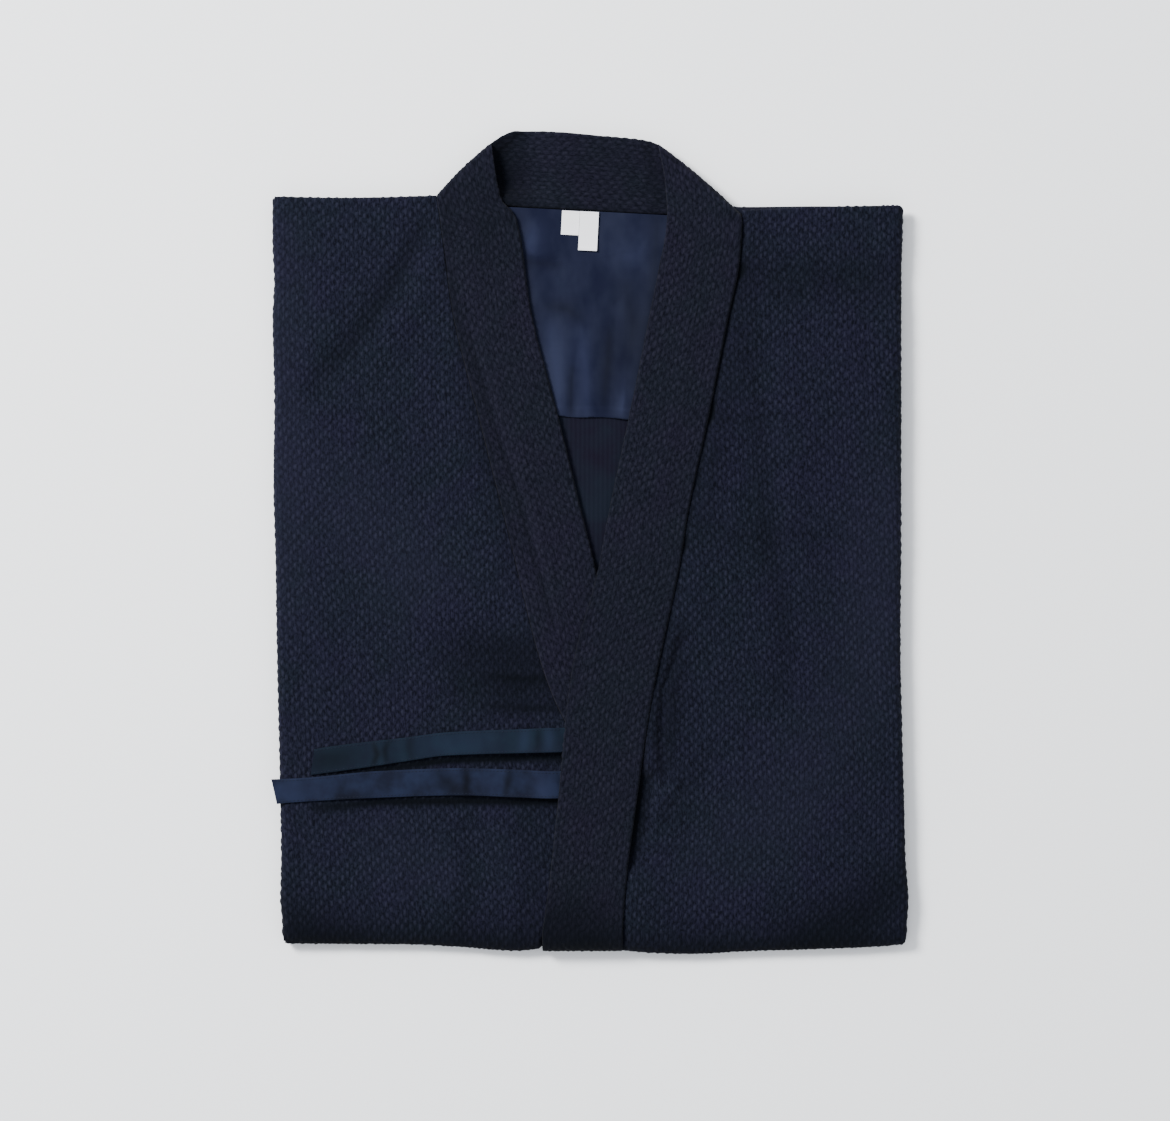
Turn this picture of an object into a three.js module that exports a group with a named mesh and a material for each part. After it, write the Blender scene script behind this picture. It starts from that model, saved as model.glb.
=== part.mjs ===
// A folded kendo jacket (keikogi) of sashiko cotton. It lies flat with its front up, the sleeves and
// the skirt folded behind. Millimetres: +X to the right seen from above, +Y to the shoulders, +Z up,
// with the underside at z = 0. The left front, which is the right half seen from above, lies on top.
import * as THREE from "three";

// ---- driving dimensions ----
const GAP = 0.3; // air between neighbouring pieces
const SASHIKO = 2; // wall of the quilted rice-grain cloth
const BAND = 4.4; // wall of the collar band, several layers sewn flat
const LINING = 1; // wall of the plain shoulder lining
const TIE = 1.4; // wall of a tie, a plain tube pressed flat
const LABEL = 1;

const CORE_TOP = 12.4; // top of the hidden sleeves and skirt, folded behind
const BACK_TOP = CORE_TOP + GAP + SASHIKO;
const LINING_TOP = BACK_TOP + GAP + LINING;
const PANEL_TOP = 18.9; // usual height of a front's outer skin
const PANEL_LOWEST = BACK_TOP + GAP + SASHIKO + 0.1; // no crease presses the skin below this
const SEAM_STEP = 0.9; // a front meets the band this far below the band's top
const CORNER_SHARE = 0.12; // where two folds meet at a corner, the lesser one adds this share of its drop

const SIDE_FOLD = { radius: 8, height: 6.5, endDeg: 120 }; // the front turned behind at each side
const HEM_FOLD = { radius: 9.5, lowest: 1.6, endDeg: 150 }; // the front turned behind at the bottom
const SHOULDER_FOLD = { radius: 4, height: 2.4, endDeg: 90 };
const BACK_FOLD = { radius: 5, height: 5, endDeg: 90 };
const NECK_FOLD = { radius: 5.5, height: 5.5, endDeg: 130 }; // the band turned over beside the neck

// ---- outline of the folded body ----
const SIDES = [
  { y: 318, left: -290.5, right: 287.8 },
  { y: 277, left: -290.5, right: 286.8 },
  { y: 240, left: -288.9, right: 285.9 },
  { y: 203, left: -290.4, right: 285.8 },
  { y: 130, left: -288.7, right: 285.7 },
  { y: 57, left: -289.6, right: 285.7 },
  { y: -16, left: -287.8, right: 285.6 },
  { y: -89, left: -286.6, right: 285.0 },
  { y: -162, left: -285.0, right: 286.3 },
  { y: -240, left: -283.2, right: 288.4 },
  { y: -290, left: -282.6, right: 289.6 },
  { y: -327, left: -283.2, right: 292.3 },
  { y: -355, left: -281.4, right: 291.0 },
  { y: -378, left: -278.5, right: 289.8 },
];
const SHOULDER_LINE = [
  { x: -291, y: 317 },
  { x: -215, y: 315.8 },
  { x: -139, y: 317.6 },
  { x: 137, y: 304.4 },
  { x: 168, y: 305.6 },
  { x: 211, y: 307.6 },
  { x: 288, y: 309 },
];
const BACK_LINE = [
  { x: -291, y: 315 },
  { x: -141, y: 315 },
  { x: -128, y: 311.4 },
  { x: -69, y: 306.4 },
  { x: 70, y: 299.2 },
  { x: 127, y: 304.6 },
  { x: 139, y: 308.6 },
  { x: 211, y: 308.4 },
  { x: 288, y: 307.4 },
];
const BOTTOM_FOLD = [
  { x: -283, y: -368 },
  { x: -173, y: -368.5 },
  { x: -118, y: -371 },
  { x: -66, y: -374.6 },
  { x: -45, y: -372.8 },
  { x: -27, y: -374.7 },
  { x: 27, y: -374 },
  { x: 55, y: -376.4 },
  { x: 92, y: -377.4 },
  { x: 147, y: -374.8 },
  { x: 211, y: -372.9 },
  { x: 275, y: -370 },
  { x: 292, y: -367 },
];

// ---- collar band: each row runs from the seam on the body to the free edge ----
const UNDER_BAND = [
  { seamX: -139.5, seamY: 317.6, edgeX: -90, edgeY: 366.4, seamTop: 21.8, edgeTop: 21.8 },
  { seamX: -138.6, seamY: 308, edgeX: -86.5, edgeY: 342, seamTop: 21.6, edgeTop: 21.8 },
  { seamX: -137.2, seamY: 298, edgeX: -79, edgeY: 311, seamTop: 21.2, edgeTop: 21.8 },
  { seamX: -134.5, seamY: 277, edgeX: -65, edgeY: 289, seamTop: 20.7, edgeTop: 21.2 },
  { seamX: -125.8, seamY: 212.7, edgeX: -53.5, edgeY: 212.7, seamTop: 20.7, edgeTop: 20.9 },
  { seamX: -102.9, seamY: 120.3, edgeX: -29.7, edgeY: 120.3, seamTop: 20.6, edgeTop: 20.8 },
  { seamX: -71.8, seamY: -2.3, edgeX: 0.5, edgeY: -2.3, seamTop: 20.1, edgeTop: 20.1 },
  { seamX: -46.2, seamY: -104.8, edgeX: 26, edgeY: -104.8, seamTop: 20, edgeTop: 19.7 },
  { seamX: -33, seamY: -142, edgeX: 38, edgeY: -142, seamTop: 19.8, edgeTop: 19.7 },
  { seamX: -22, seamY: -165, edgeX: 44, edgeY: -165, seamTop: 19.7, edgeTop: 19.7 },
];
const OVER_BAND = [
  { seamX: 135.6, seamY: 310.6, edgeX: 62.7, edgeY: 365.5, seamTop: 21.8, edgeTop: 21.8 },
  { seamX: 137.4, seamY: 300, edgeX: 69, edgeY: 332, seamTop: 21.4, edgeTop: 21.8 },
  { seamX: 138.4, seamY: 284, edgeX: 71, edgeY: 299, seamTop: 21, edgeTop: 21.6 },
  { seamX: 136, seamY: 249, edgeX: 63, edgeY: 249, seamTop: 20.8, edgeTop: 21 },
  { seamX: 128.2, seamY: 210.9, edgeX: 55.4, edgeY: 210.9, seamTop: 20.8, edgeTop: 20.9 },
  { seamX: 110.3, seamY: 120.3, edgeX: 37.1, edgeY: 120.3, seamTop: 20.8, edgeTop: 20.8 },
  { seamX: 90, seamY: 25, edgeX: 17, edgeY: 25, seamTop: 21, edgeTop: 21.6 },
  { seamX: 83.7, seamY: -16, edgeX: 9.6, edgeY: -16, seamTop: 22, edgeTop: 24.6 },
  { seamX: 79, seamY: -40, edgeX: 4, edgeY: -40, seamTop: 23, edgeTop: 25.3 },
  { seamX: 65.4, seamY: -102, edgeX: -13.3, edgeY: -102, seamTop: 24, edgeTop: 25.6 },
  { seamX: 57.2, seamY: -143.2, edgeX: -19.7, edgeY: -143.2, seamTop: 24.2, edgeTop: 26 },
  { seamX: 43.5, seamY: -235.6, edgeX: -28.8, edgeY: -235.6, seamTop: 23.6, edgeTop: 26 },
  { seamX: 33.4, seamY: -313.4, edgeX: -37.1, edgeY: -313.4, seamTop: 23.2, edgeTop: 24.2 },
  { seamX: 29.4, seamY: -366, edgeX: -44.5, edgeY: -366, seamTop: 23, edgeTop: 23.6 },
];
// The band behind the neck: each row runs from its seam on the back to its free edge, which hangs a little.
const NECK_BAND = [
  { seamX: -131.5, seamY: 313.6, edgeX: -84.5, edgeY: 359.8, seamTop: 17, edgeTop: 15.8 },
  { seamX: -100, seamY: 311, edgeX: -77, edgeY: 371.5, seamTop: 17.1, edgeTop: 15.2 },
  { seamX: -68, seamY: 307.8, edgeX: -62, edgeY: 376.6, seamTop: 17.1, edgeTop: 14.9 },
  { seamX: -27, seamY: 305.2, edgeX: -27, edgeY: 375.8, seamTop: 17.1, edgeTop: 14.7 },
  { seamX: 9.6, seamY: 303.4, edgeX: 9.6, edgeY: 373, seamTop: 17.1, edgeTop: 14.7 },
  { seamX: 44, seamY: 301.6, edgeX: 44, edgeY: 369.6, seamTop: 17.1, edgeTop: 14.9 },
  { seamX: 70, seamY: 300.6, edgeX: 55.5, edgeY: 366.2, seamTop: 17.1, edgeTop: 15.3 },
  { seamX: 100, seamY: 303.4, edgeX: 57.5, edgeY: 363, seamTop: 17.1, edgeTop: 15.6 },
  { seamX: 129, seamY: 306.4, edgeX: 59.5, edgeY: 359.8, seamTop: 17, edgeTop: 15.8 },
];
// The band's section: across is a share of its width plus a distance from the nearer edge.
const BAND_SECTION = [
  { share: 0, inset: 0, depth: 2.1 },
  { share: 0, inset: 0.9, depth: 0.7 },
  { share: 0, inset: 3, depth: 0 },
  { share: 0.3, inset: 0, depth: -0.2 },
  { share: 0.5, inset: 0, depth: 0 },
  { share: 0.72, inset: 0, depth: -0.1 },
  { share: 1, inset: -3, depth: 0 },
  { share: 1, inset: -0.9, depth: 0.7 },
  { share: 1, inset: 0, depth: 2.1 },
  { share: 1, inset: -0.8, depth: BAND },
  { share: 0.7, inset: 0, depth: BAND },
  { share: 0.5, inset: 0, depth: BAND },
  { share: 0.3, inset: 0, depth: BAND },
  { share: 0, inset: 0.8, depth: BAND },
];

// ---- the largest folds of the fronts: soft troughs (depth below 0) and ridges along a short path ----
const CREASES = [
  { on: "front_right", path: [[-146, 281], [-187, 222], [-201, 194]], half: 14, depth: -1.3 },
  { on: "front_right", path: [[-114, -112], [-60, -114], [-22, -112]], half: 9, depth: -1.1 },
  { on: "front_right", path: [[-176, -250], [-172, -300], [-176, -345]], half: 13, depth: -0.9 },
  { on: "front_right", path: [[-86, -255], [-80, -300], [-84, -350]], half: 12, depth: -0.8 },
  { on: "front_left", path: [[156, 170], [161, 39], [165, -16], [174, -126], [138, -199]], half: 13, depth: -1.3 },
  { on: "front_left", path: [[107, 116], [145, 114], [183, 116]], half: 5, depth: -0.6 },
  { on: "front_left", path: [[92, -80], [70, -140], [65, -205]], half: 7, depth: -1.8 },
  { on: "front_left", path: [[54, -214], [52, -240], [46, -280]], half: 7, depth: -4.2 },
];

// Slack left in the fronts by hand: long waves, each a height and the lengths it takes along X and Y.
const SLACK = [
  { height: 0.35, lengthX: 239, lengthY: 565, start: 0 },
  { height: 0.3, lengthX: -754, lengthY: 358, start: 0.25 },
];

// ---- lining, ties and labels ----
const LINING_ROWS = [
  { y: 298.4, left: -92, right: 94 },
  { y: 240, left: -92, right: 92 },
  { y: 180, left: -84, right: 84 },
  { y: 114.6, left: -66, right: 72 },
];
const LINING_TILT = -0.052; // its edges follow the slanted neckline: rise per mm to the right
const TIE_UPPER = [
  { x: -18, topY: -169.4, lowY: -191.6, skin: 20.8 },
  { x: -33, topY: -169.6, lowY: -192, skin: 21 },
  { x: -60, topY: -170.6, lowY: -192.6, skin: 21.4 },
  { x: -128, topY: -173.4, lowY: -194.8, skin: 20.8 },
  { x: -171.5, topY: -178.8, lowY: -200.8, skin: 20.7 },
  { x: -213.6, topY: -183.5, lowY: -207.2, skin: 20.8 },
  { x: -254.8, topY: -189, lowY: -212.8, skin: 20.6 },
];
const TIE_LOWER = [
  { x: -20, topY: -209.4, lowY: -234, skin: 20.7 },
  { x: -36, topY: -209.2, lowY: -234.2, skin: 21.1 },
  { x: -70, topY: -207.6, lowY: -233, skin: 21.2 },
  { x: -117, topY: -206.4, lowY: -231.4, skin: 20.8 },
  { x: -192.6, topY: -209, lowY: -233.6, skin: 20.6 },
  { x: -264, topY: -215.5, lowY: -237.4, skin: 20.7 },
  { x: -291, topY: -216.6, lowY: -239.4, skin: 20 },
];
const SIZE_LABEL = { left: -27, top: 304, width: 17, length: 23, turnDeg: -3, layer: 1 };
const CARE_LABEL = { left: -12.5, top: 303.2, width: 20.5, length: 38, turnDeg: -3, layer: 2 };

// The hidden layers' edge, layer on layer: how far each height lies inside the outline.
const LAYERED_EDGE = [
  { z: 0, side: 9, shoulder: 9, bottom: 13 },
  { z: 0.5, side: 4.6, shoulder: 5, bottom: 11.4 },
  { z: 1.9, side: 2.2, shoulder: 2.6, bottom: 10.4 },
  { z: 3.3, side: 3.6, shoulder: 4, bottom: 7.4 },
  { z: 3.8, side: 7, shoulder: 7.4, bottom: 7 },
  { z: 4.3, side: 3.4, shoulder: 3.8, bottom: 6.2 },
  { z: 5.9, side: 1.8, shoulder: 2, bottom: 4.6 },
  { z: 7.3, side: 3.2, shoulder: 3.6, bottom: 3.6 },
  { z: 7.8, side: 6.8, shoulder: 7.6, bottom: 3.4 },
  { z: 8.8, side: 6.6, shoulder: 8, bottom: 3.2 },
  { z: 11.2, side: 6.8, shoulder: 8.4, bottom: 3.6 },
  { z: CORE_TOP, side: 8, shoulder: 9.4, bottom: 5.4 },
];

// ---- small tools ----
const radians = THREE.MathUtils.degToRad;
const lerp = THREE.MathUtils.lerp;

// The column of a table at a value of its key column, straight between rows.
function read(table, key, value, column) {
  const falls = table[0][key] > table[table.length - 1][key];
  let row = 0;
  while (row < table.length - 2 && (falls ? value < table[row + 1][key] : value > table[row + 1][key])) row++;
  const [a, b] = [table[row], table[row + 1]];
  const share = THREE.MathUtils.clamp((value - a[key]) / (b[key] - a[key]), 0, 1);
  return lerp(a[column], b[column], share);
}

// Where a point of cloth lies on a fold: depth is how far it is under the outer skin.
function fold({ radius, height }, angle, depth) {
  return {
    inset: radius - (radius - depth) * Math.sin(angle),
    drop: height - (height - depth) * Math.cos(angle),
  };
}

const foldAngles = (endDeg, steps) =>
  Array.from({ length: steps }, (_, i) => radians((endDeg * (steps - i)) / steps));

// A closed body through rings of equal length, with a flat or fanned cap at each end.
function loft(rings) {
  const count = rings[0].length;
  const points = rings.flat();
  const faces = [];
  for (let r = 0; r + 1 < rings.length; r++) {
    for (let i = 0; i < count; i++) {
      const next = (i + 1) % count;
      const [a, b, c, d] = [r * count + i, r * count + next, (r + 1) * count + next, (r + 1) * count + i];
      faces.push([a, b, c], [a, c, d]);
    }
  }
  const cap = (ring, first, turned) => {
    const centre = new THREE.Vector3();
    ring.forEach((p) => centre.addScaledVector(p, 1 / count));
    const hub = points.push(centre) - 1;
    for (let i = 0; i < count; i++) {
      const [a, b] = [first + i, first + ((i + 1) % count)];
      faces.push(turned ? [hub, b, a] : [hub, a, b]);
    }
  };
  cap(rings[0], 0, true);
  cap(rings[rings.length - 1], (rings.length - 1) * count, false);
  return body(points, faces);
}

// A closed wall between an outer and an inner skin, each a grid of rows of points.
function wall(outer, inner) {
  const [rows, columns] = [outer.length, outer[0].length];
  const points = [...outer.flat(), ...inner.flat()];
  const far = rows * columns;
  const faces = [];
  const quad = (a, b, c, d) => faces.push([a, b, c], [a, c, d]);
  for (let r = 0; r + 1 < rows; r++) {
    for (let c = 0; c + 1 < columns; c++) {
      const k = r * columns + c;
      quad(k, k + 1, k + columns + 1, k + columns);
      quad(far + k, far + k + columns, far + k + columns + 1, far + k + 1);
    }
  }
  for (let c = 0; c + 1 < columns; c++) {
    const last = (rows - 1) * columns + c;
    quad(c, far + c, far + c + 1, c + 1);
    quad(last, last + 1, far + last + 1, far + last);
  }
  for (let r = 0; r + 1 < rows; r++) {
    const [left, right] = [r * columns, r * columns + columns - 1];
    quad(left, left + columns, far + left + columns, far + left);
    quad(right, far + right, far + right + columns, right + columns);
  }
  return body(points, faces);
}

// Points and triangles as a geometry whose faces point out.
function body(points, faces) {
  const volume = faces.reduce((sum, [a, b, c]) => sum + points[a].dot(points[b].clone().cross(points[c])), 0);
  const geometry = new THREE.BufferGeometry().setFromPoints(points);
  geometry.setIndex(faces.flatMap(([a, b, c]) => (volume < 0 ? [a, c, b] : [a, b, c])));
  geometry.computeVertexNormals();
  return geometry;
}

// Distance from a point to a path, and how far along the path its nearest point is, 0 to 1.
function nearest(path, x, y) {
  let best = { distance: Infinity, along: 0 };
  for (let i = 0; i + 1 < path.length; i++) {
    const [[ax, ay], [bx, by]] = [path[i], path[i + 1]];
    const [dx, dy] = [bx - ax, by - ay];
    const share = THREE.MathUtils.clamp(((x - ax) * dx + (y - ay) * dy) / (dx * dx + dy * dy), 0, 1);
    const distance = Math.hypot(x - ax - share * dx, y - ay - share * dy);
    if (distance < best.distance) best = { distance, along: (i + share) / (path.length - 1) };
  }
  return best;
}

// ---- fronts ----
// Height of the bottom fold, so that cloth at a given height ends near the floor.
const hemHeight = (skin) => (skin - HEM_FOLD.lowest) / (1 - Math.cos(radians(HEM_FOLD.endDeg)));
const seamOf = {
  front_right: (y) => read(UNDER_BAND, "seamY", y, "seamX") - GAP,
  front_left: (y) => read(OVER_BAND, "seamY", y, "seamX") + GAP,
};
const FLOOR_AIR = 1; // the turned cloth ends at least this far above the floor
const TUCK = { top: -165, full: -200, x: -2 }; // below the crossing the right front runs on under the over band
const HIDDEN_HEM_RISE = 8; // what lies under the over band is folded up this much inside its bottom fold
const PRESSED = 0.5; // and is pressed this much lower

function innerEdge(name, y) {
  const seam = seamOf[name](y);
  if (name === "front_left" || y > TUCK.top) return seam;
  return lerp(seam, TUCK.x, THREE.MathUtils.smoothstep(TUCK.top - y, 0, TUCK.top - TUCK.full));
}

// Height of a front's outer skin over a point of the plan, without its folds at the outline.
function frontSkin(name, x, y) {
  const left = name === "front_left";
  const seam = seamOf[name](y);
  const bandTop = read(left ? OVER_BAND : UNDER_BAND, "seamY", y, "seamTop");
  const reach = left ? 34 : 22;
  const tucked = !left && y < TUCK.top;
  const lift = tucked ? 0 : (bandTop - SEAM_STEP - PANEL_TOP) * Math.exp(-(((x - seam) / reach) ** 2));
  let skin = PANEL_TOP + lift;
  for (const { height, lengthX, lengthY, start } of SLACK) {
    skin += height * Math.sin(2 * Math.PI * (x / lengthX + y / lengthY + start));
  }
  for (const { on, path, half, depth } of CREASES) {
    if (on !== name) continue;
    const { distance, along } = nearest(path, x, y);
    skin += depth * Math.exp(-((distance / half) ** 2)) * Math.sqrt(Math.sin(Math.PI * lerp(0.12, 0.88, along)));
  }
  const tuck = left || y > TUCK.top ? 0 : THREE.MathUtils.smoothstep(x, -62, -46);
  return Math.max(lerp(skin, PANEL_TOP - PRESSED, tuck), PANEL_LOWEST);
}

const FRONT_COLUMNS = 10;
const ROW_STEP = 32;
const SMALLEST_ROW = 6;
const SEAM_STEPS = [1, 0.965, 0.92, 0.85]; // columns crowd towards the seam, where the cloth rises to the band

// Heights up the garment at which both a front and its band have a row, so that their edges run side by side.
function rowStops(table, top, bottom) {
  const inner = table.map((row) => row.seamY).filter((y) => y < top - SMALLEST_ROW && y > bottom + SMALLEST_ROW);
  const stops = [top, ...inner, bottom];
  return stops.flatMap((y, i) => {
    if (!i) return [y];
    const steps = Math.max(1, Math.round((stops[i - 1] - y) / ROW_STEP));
    return Array.from({ length: steps }, (_, k) => lerp(stops[i - 1], y, (k + 1) / steps));
  });
}

function front(name) {
  const outward = name === "front_left" ? 1 : -1;
  const side = name === "front_left" ? "right" : "left";
  const band = name === "front_left" ? OVER_BAND : UNDER_BAND;
  const underBand = (x) => (name === "front_right" ? THREE.MathUtils.smoothstep(x, -47, -39) : 0);
  const highAt = (x) => read(SHOULDER_LINE, "x", x, "y") - SHOULDER_FOLD.radius;
  const lowAt = (x) => read(BOTTOM_FOLD, "x", x, "y") + HIDDEN_HEM_RISE * underBand(x) + HEM_FOLD.radius;
  const shareOf = (y) => (highAt(innerEdge(name, y)) - y) / (highAt(innerEdge(name, y)) - lowAt(innerEdge(name, y)));
  const stops = rowStops(band, highAt(innerEdge(name, band[0].seamY)), lowAt(innerEdge(name, -370)));
  const planColumns = [];
  for (let i = 0; i < FRONT_COLUMNS; i++) planColumns.push((0.85 * i) / FRONT_COLUMNS);
  planColumns.push(...SEAM_STEPS.slice().reverse());
  const columns = [
    ...foldAngles(SIDE_FOLD.endDeg, 5).map((angle) => ({ angle, share: 0 })),
    ...planColumns.map((share) => ({ angle: 0, share })),
  ];
  const rows = [
    ...foldAngles(SHOULDER_FOLD.endDeg, 3).map((angle) => ({ shoulder: angle, hem: 0, share: 0 })),
    ...stops.map((y) => ({ shoulder: 0, hem: 0, share: THREE.MathUtils.clamp(shareOf(y), 0, 1) })),
    ...foldAngles(HEM_FOLD.endDeg, 6).reverse().map((angle) => ({ shoulder: 0, hem: angle, share: 1 })),
  ];
  const skinAt = (row, column, depth) => {
    const top = SHOULDER_LINE[0].y;
    const bottom = BOTTOM_FOLD[0].y;
    const roughY = lerp(top, bottom + HEM_FOLD.radius, row.share);
    const sideFold = fold(SIDE_FOLD, column.angle, depth);
    const edge = read(SIDES, "y", roughY, side);
    const inset = column.angle ? sideFold.inset : SIDE_FOLD.radius;
    const shoulderFold = fold(SHOULDER_FOLD, row.shoulder, depth);
    const acrossAt = (y) => lerp(edge - outward * inset, innerEdge(name, y), column.share);
    const hemFoldAt = (x, y) =>
      fold({ radius: HEM_FOLD.radius, height: hemHeight(frontSkin(name, x, y)) }, row.hem, depth);
    const downAt = (x, hemTurn) => {
      const high = highAt(x) + (row.shoulder ? SHOULDER_FOLD.radius - shoulderFold.inset : 0);
      return lerp(high, lowAt(x) - (row.hem ? HEM_FOLD.radius - hemTurn.inset : 0), row.share);
    };
    let x = acrossAt(roughY);
    let y = roughY;
    for (let pass = 0; pass < 4; pass++) {
      y = downAt(x, hemFoldAt(x, y));
      x = acrossAt(y);
    }
    const hemFold = hemFoldAt(x, y);
    const sideDrop = column.angle ? sideFold.drop - depth : 0;
    const endDrop = row.shoulder ? shoulderFold.drop - depth : row.hem ? hemFold.drop - depth : 0;
    const drop = Math.max(sideDrop, endDrop) + CORNER_SHARE * Math.min(sideDrop, endDrop);
    return new THREE.Vector3(x, y, Math.max(frontSkin(name, x, y) - depth - drop, FLOOR_AIR + depth / 2));
  };
  const skin = (depth) => rows.map((row) => columns.map((column) => skinAt(row, column, depth)));
  return wall(skin(0), skin(SASHIKO));
}

// ---- back and lining ----
const BACK_INSET = 6.5;
// Shares of the width; columns crowd where the shoulder line turns into the neckline.
const BACK_COLUMNS = [
  0, 0.06, 0.14, 0.22, 0.262, 0.284, 0.33, 0.386, 0.45, 0.51, 0.57, 0.624, 0.68, 0.726, 0.748, 0.8, 0.87, 0.94, 1,
];
const BACK_END = 16; // it stops this far inside the bottom fold
const NECKLINE_HALF = 126; // the neckline is a cut edge, the shoulders beside it are folds

function back() {
  const rows = [
    ...foldAngles(BACK_FOLD.endDeg, 3).map((angle) => ({ angle, share: 0 })),
    ...Array.from({ length: 9 }, (_, i) => ({ angle: 0, share: i / 8 })),
  ];
  const pointAt = (row, share, depth) => {
    const roughY = lerp(BACK_LINE[0].y, BOTTOM_FOLD[0].y, row.share);
    const left = read(SIDES, "y", roughY, "left") + BACK_INSET;
    const right = read(SIDES, "y", roughY, "right") - BACK_INSET;
    const x = lerp(left, right, share);
    const turned = fold(BACK_FOLD, row.angle, depth);
    const high = read(BACK_LINE, "x", x, "y") - (row.angle ? turned.inset : BACK_FOLD.radius);
    const low = read(BOTTOM_FOLD, "x", x, "y") + BACK_END;
    const folded = THREE.MathUtils.smoothstep(Math.abs(x + 2), NECKLINE_HALF, NECKLINE_HALF + 14);
    const drop = row.angle ? lerp(depth, turned.drop, folded) : depth;
    return new THREE.Vector3(x, lerp(high, low, row.share), BACK_TOP - drop);
  };
  const skin = (depth) => rows.map((row) => BACK_COLUMNS.map((share) => pointAt(row, share, depth)));
  return wall(skin(0), skin(SASHIKO));
}

function shoulderLining() {
  const steps = 10;
  const skin = (depth) =>
    LINING_ROWS.map(({ y, left, right }) =>
      Array.from({ length: steps + 1 }, (_, i) => {
        const x = lerp(left, right, i / steps);
        return new THREE.Vector3(x, y + LINING_TILT * x, LINING_TOP - depth);
      }),
    );
  return wall(skin(0), skin(LINING));
}

// ---- collar band ----
// One row of the band as a closed ring. turn, where given, lays the row on a fold about its own line.
function bandRing(row, section, turn) {
  const seam = new THREE.Vector3(row.seamX, row.seamY, row.seamTop);
  const edge = new THREE.Vector3(row.edgeX, row.edgeY, row.edgeTop);
  const across = edge.clone().sub(seam);
  const width = across.length();
  return section.map(({ share, inset, depth }) => {
    const point = seam.clone().addScaledVector(across, share + inset / width);
    if (!turn) return point.setZ(point.z - depth);
    const { inset: inward, drop } = fold(turn.fold, turn.angle, depth);
    return point.addScaledVector(turn.inward, inward).setZ(point.z - drop);
  });
}

// The band from its fold beside the neck down the front. hem, where given, turns its end behind.
function frontBand(rows, inward, hem) {
  const rings = foldAngles(NECK_FOLD.endDeg, 5).map((angle) =>
    bandRing(rows[0], BAND_SECTION, { fold: NECK_FOLD, angle, inward }),
  );
  rings.push(bandRing(rows[0], BAND_SECTION, { fold: NECK_FOLD, angle: 1e-3, inward }));
  for (let i = 1; i < rows.length; i++) {
    const steps = Math.max(1, Math.round(Math.abs(rows[i].seamY - rows[i - 1].seamY) / ROW_STEP));
    for (let k = 1; k <= steps; k++) rings.push(bandRing(between(rows[i - 1], rows[i], k / steps), BAND_SECTION));
  }
  if (hem) {
    const last = rows[rows.length - 1];
    const end = { ...last, seamY: hem.y, edgeY: hem.y };
    const turned = { radius: HEM_FOLD.radius, height: hemHeight(last.edgeTop) };
    foldAngles(HEM_FOLD.endDeg, 6)
      .reverse()
      .forEach((angle) =>
        rings.push(bandRing(end, BAND_SECTION, { fold: turned, angle, inward: new THREE.Vector3(0, 1, 0) })),
      );
  }
  return loft(rings);
}

const between = (a, b, share) =>
  Object.fromEntries(Object.keys(a).map((column) => [column, lerp(a[column], b[column], share)]));

// Unit vector in the plan, square to a row and pointing down the garment.
function inwardOf(row) {
  const along = new THREE.Vector3(row.edgeX - row.seamX, row.edgeY - row.seamY, 0).normalize();
  const square = new THREE.Vector3(along.y, -along.x, 0);
  return square.y > 0 ? square.negate() : square;
}

function neckBand() {
  const rings = [];
  for (let i = 0; i < NECK_BAND.length; i++) {
    if (i) rings.push(bandRing(between(NECK_BAND[i - 1], NECK_BAND[i], 0.5), BAND_SECTION));
    rings.push(bandRing(NECK_BAND[i], BAND_SECTION));
  }
  return loft(rings);
}

// ---- ties and labels ----
function tie(table) {
  const rings = [];
  for (let i = 0; i < table.length; i++) {
    const steps = i ? 3 : 1;
    for (let k = 1; k <= steps; k++) {
      const { x, topY, lowY, skin } = i ? between(table[i - 1], table[i], k / steps) : table[0];
      const section = [
        [topY, skin - 0.5],
        [topY - 0.5, skin],
        [lerp(topY, lowY, 0.5), skin + 0.15],
        [lowY + 0.5, skin],
        [lowY, skin - 0.5],
        [lowY + 0.3, skin - TIE],
        [lerp(topY, lowY, 0.5), skin - TIE],
        [topY - 0.3, skin - TIE],
      ];
      rings.push(section.map(([y, z]) => new THREE.Vector3(x, y, z)));
    }
  }
  return loft(rings);
}

function label({ left, top, width, length, turnDeg, layer }) {
  const turn = radians(turnDeg);
  const skin = LINING_TOP + layer * (GAP + LABEL);
  const steps = 3;
  const skinAt = (depth) =>
    Array.from({ length: steps + 1 }, (_, i) =>
      [0, 0.5, 1].map((share) => {
        const [across, down] = [share * width, (length * i) / steps];
        const x = left + across * Math.cos(turn) + down * Math.sin(turn);
        const y = top + across * Math.sin(turn) - down * Math.cos(turn);
        return new THREE.Vector3(x, y, skin - depth);
      }),
    );
  return wall(skinAt(0), skinAt(LABEL));
}

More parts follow.
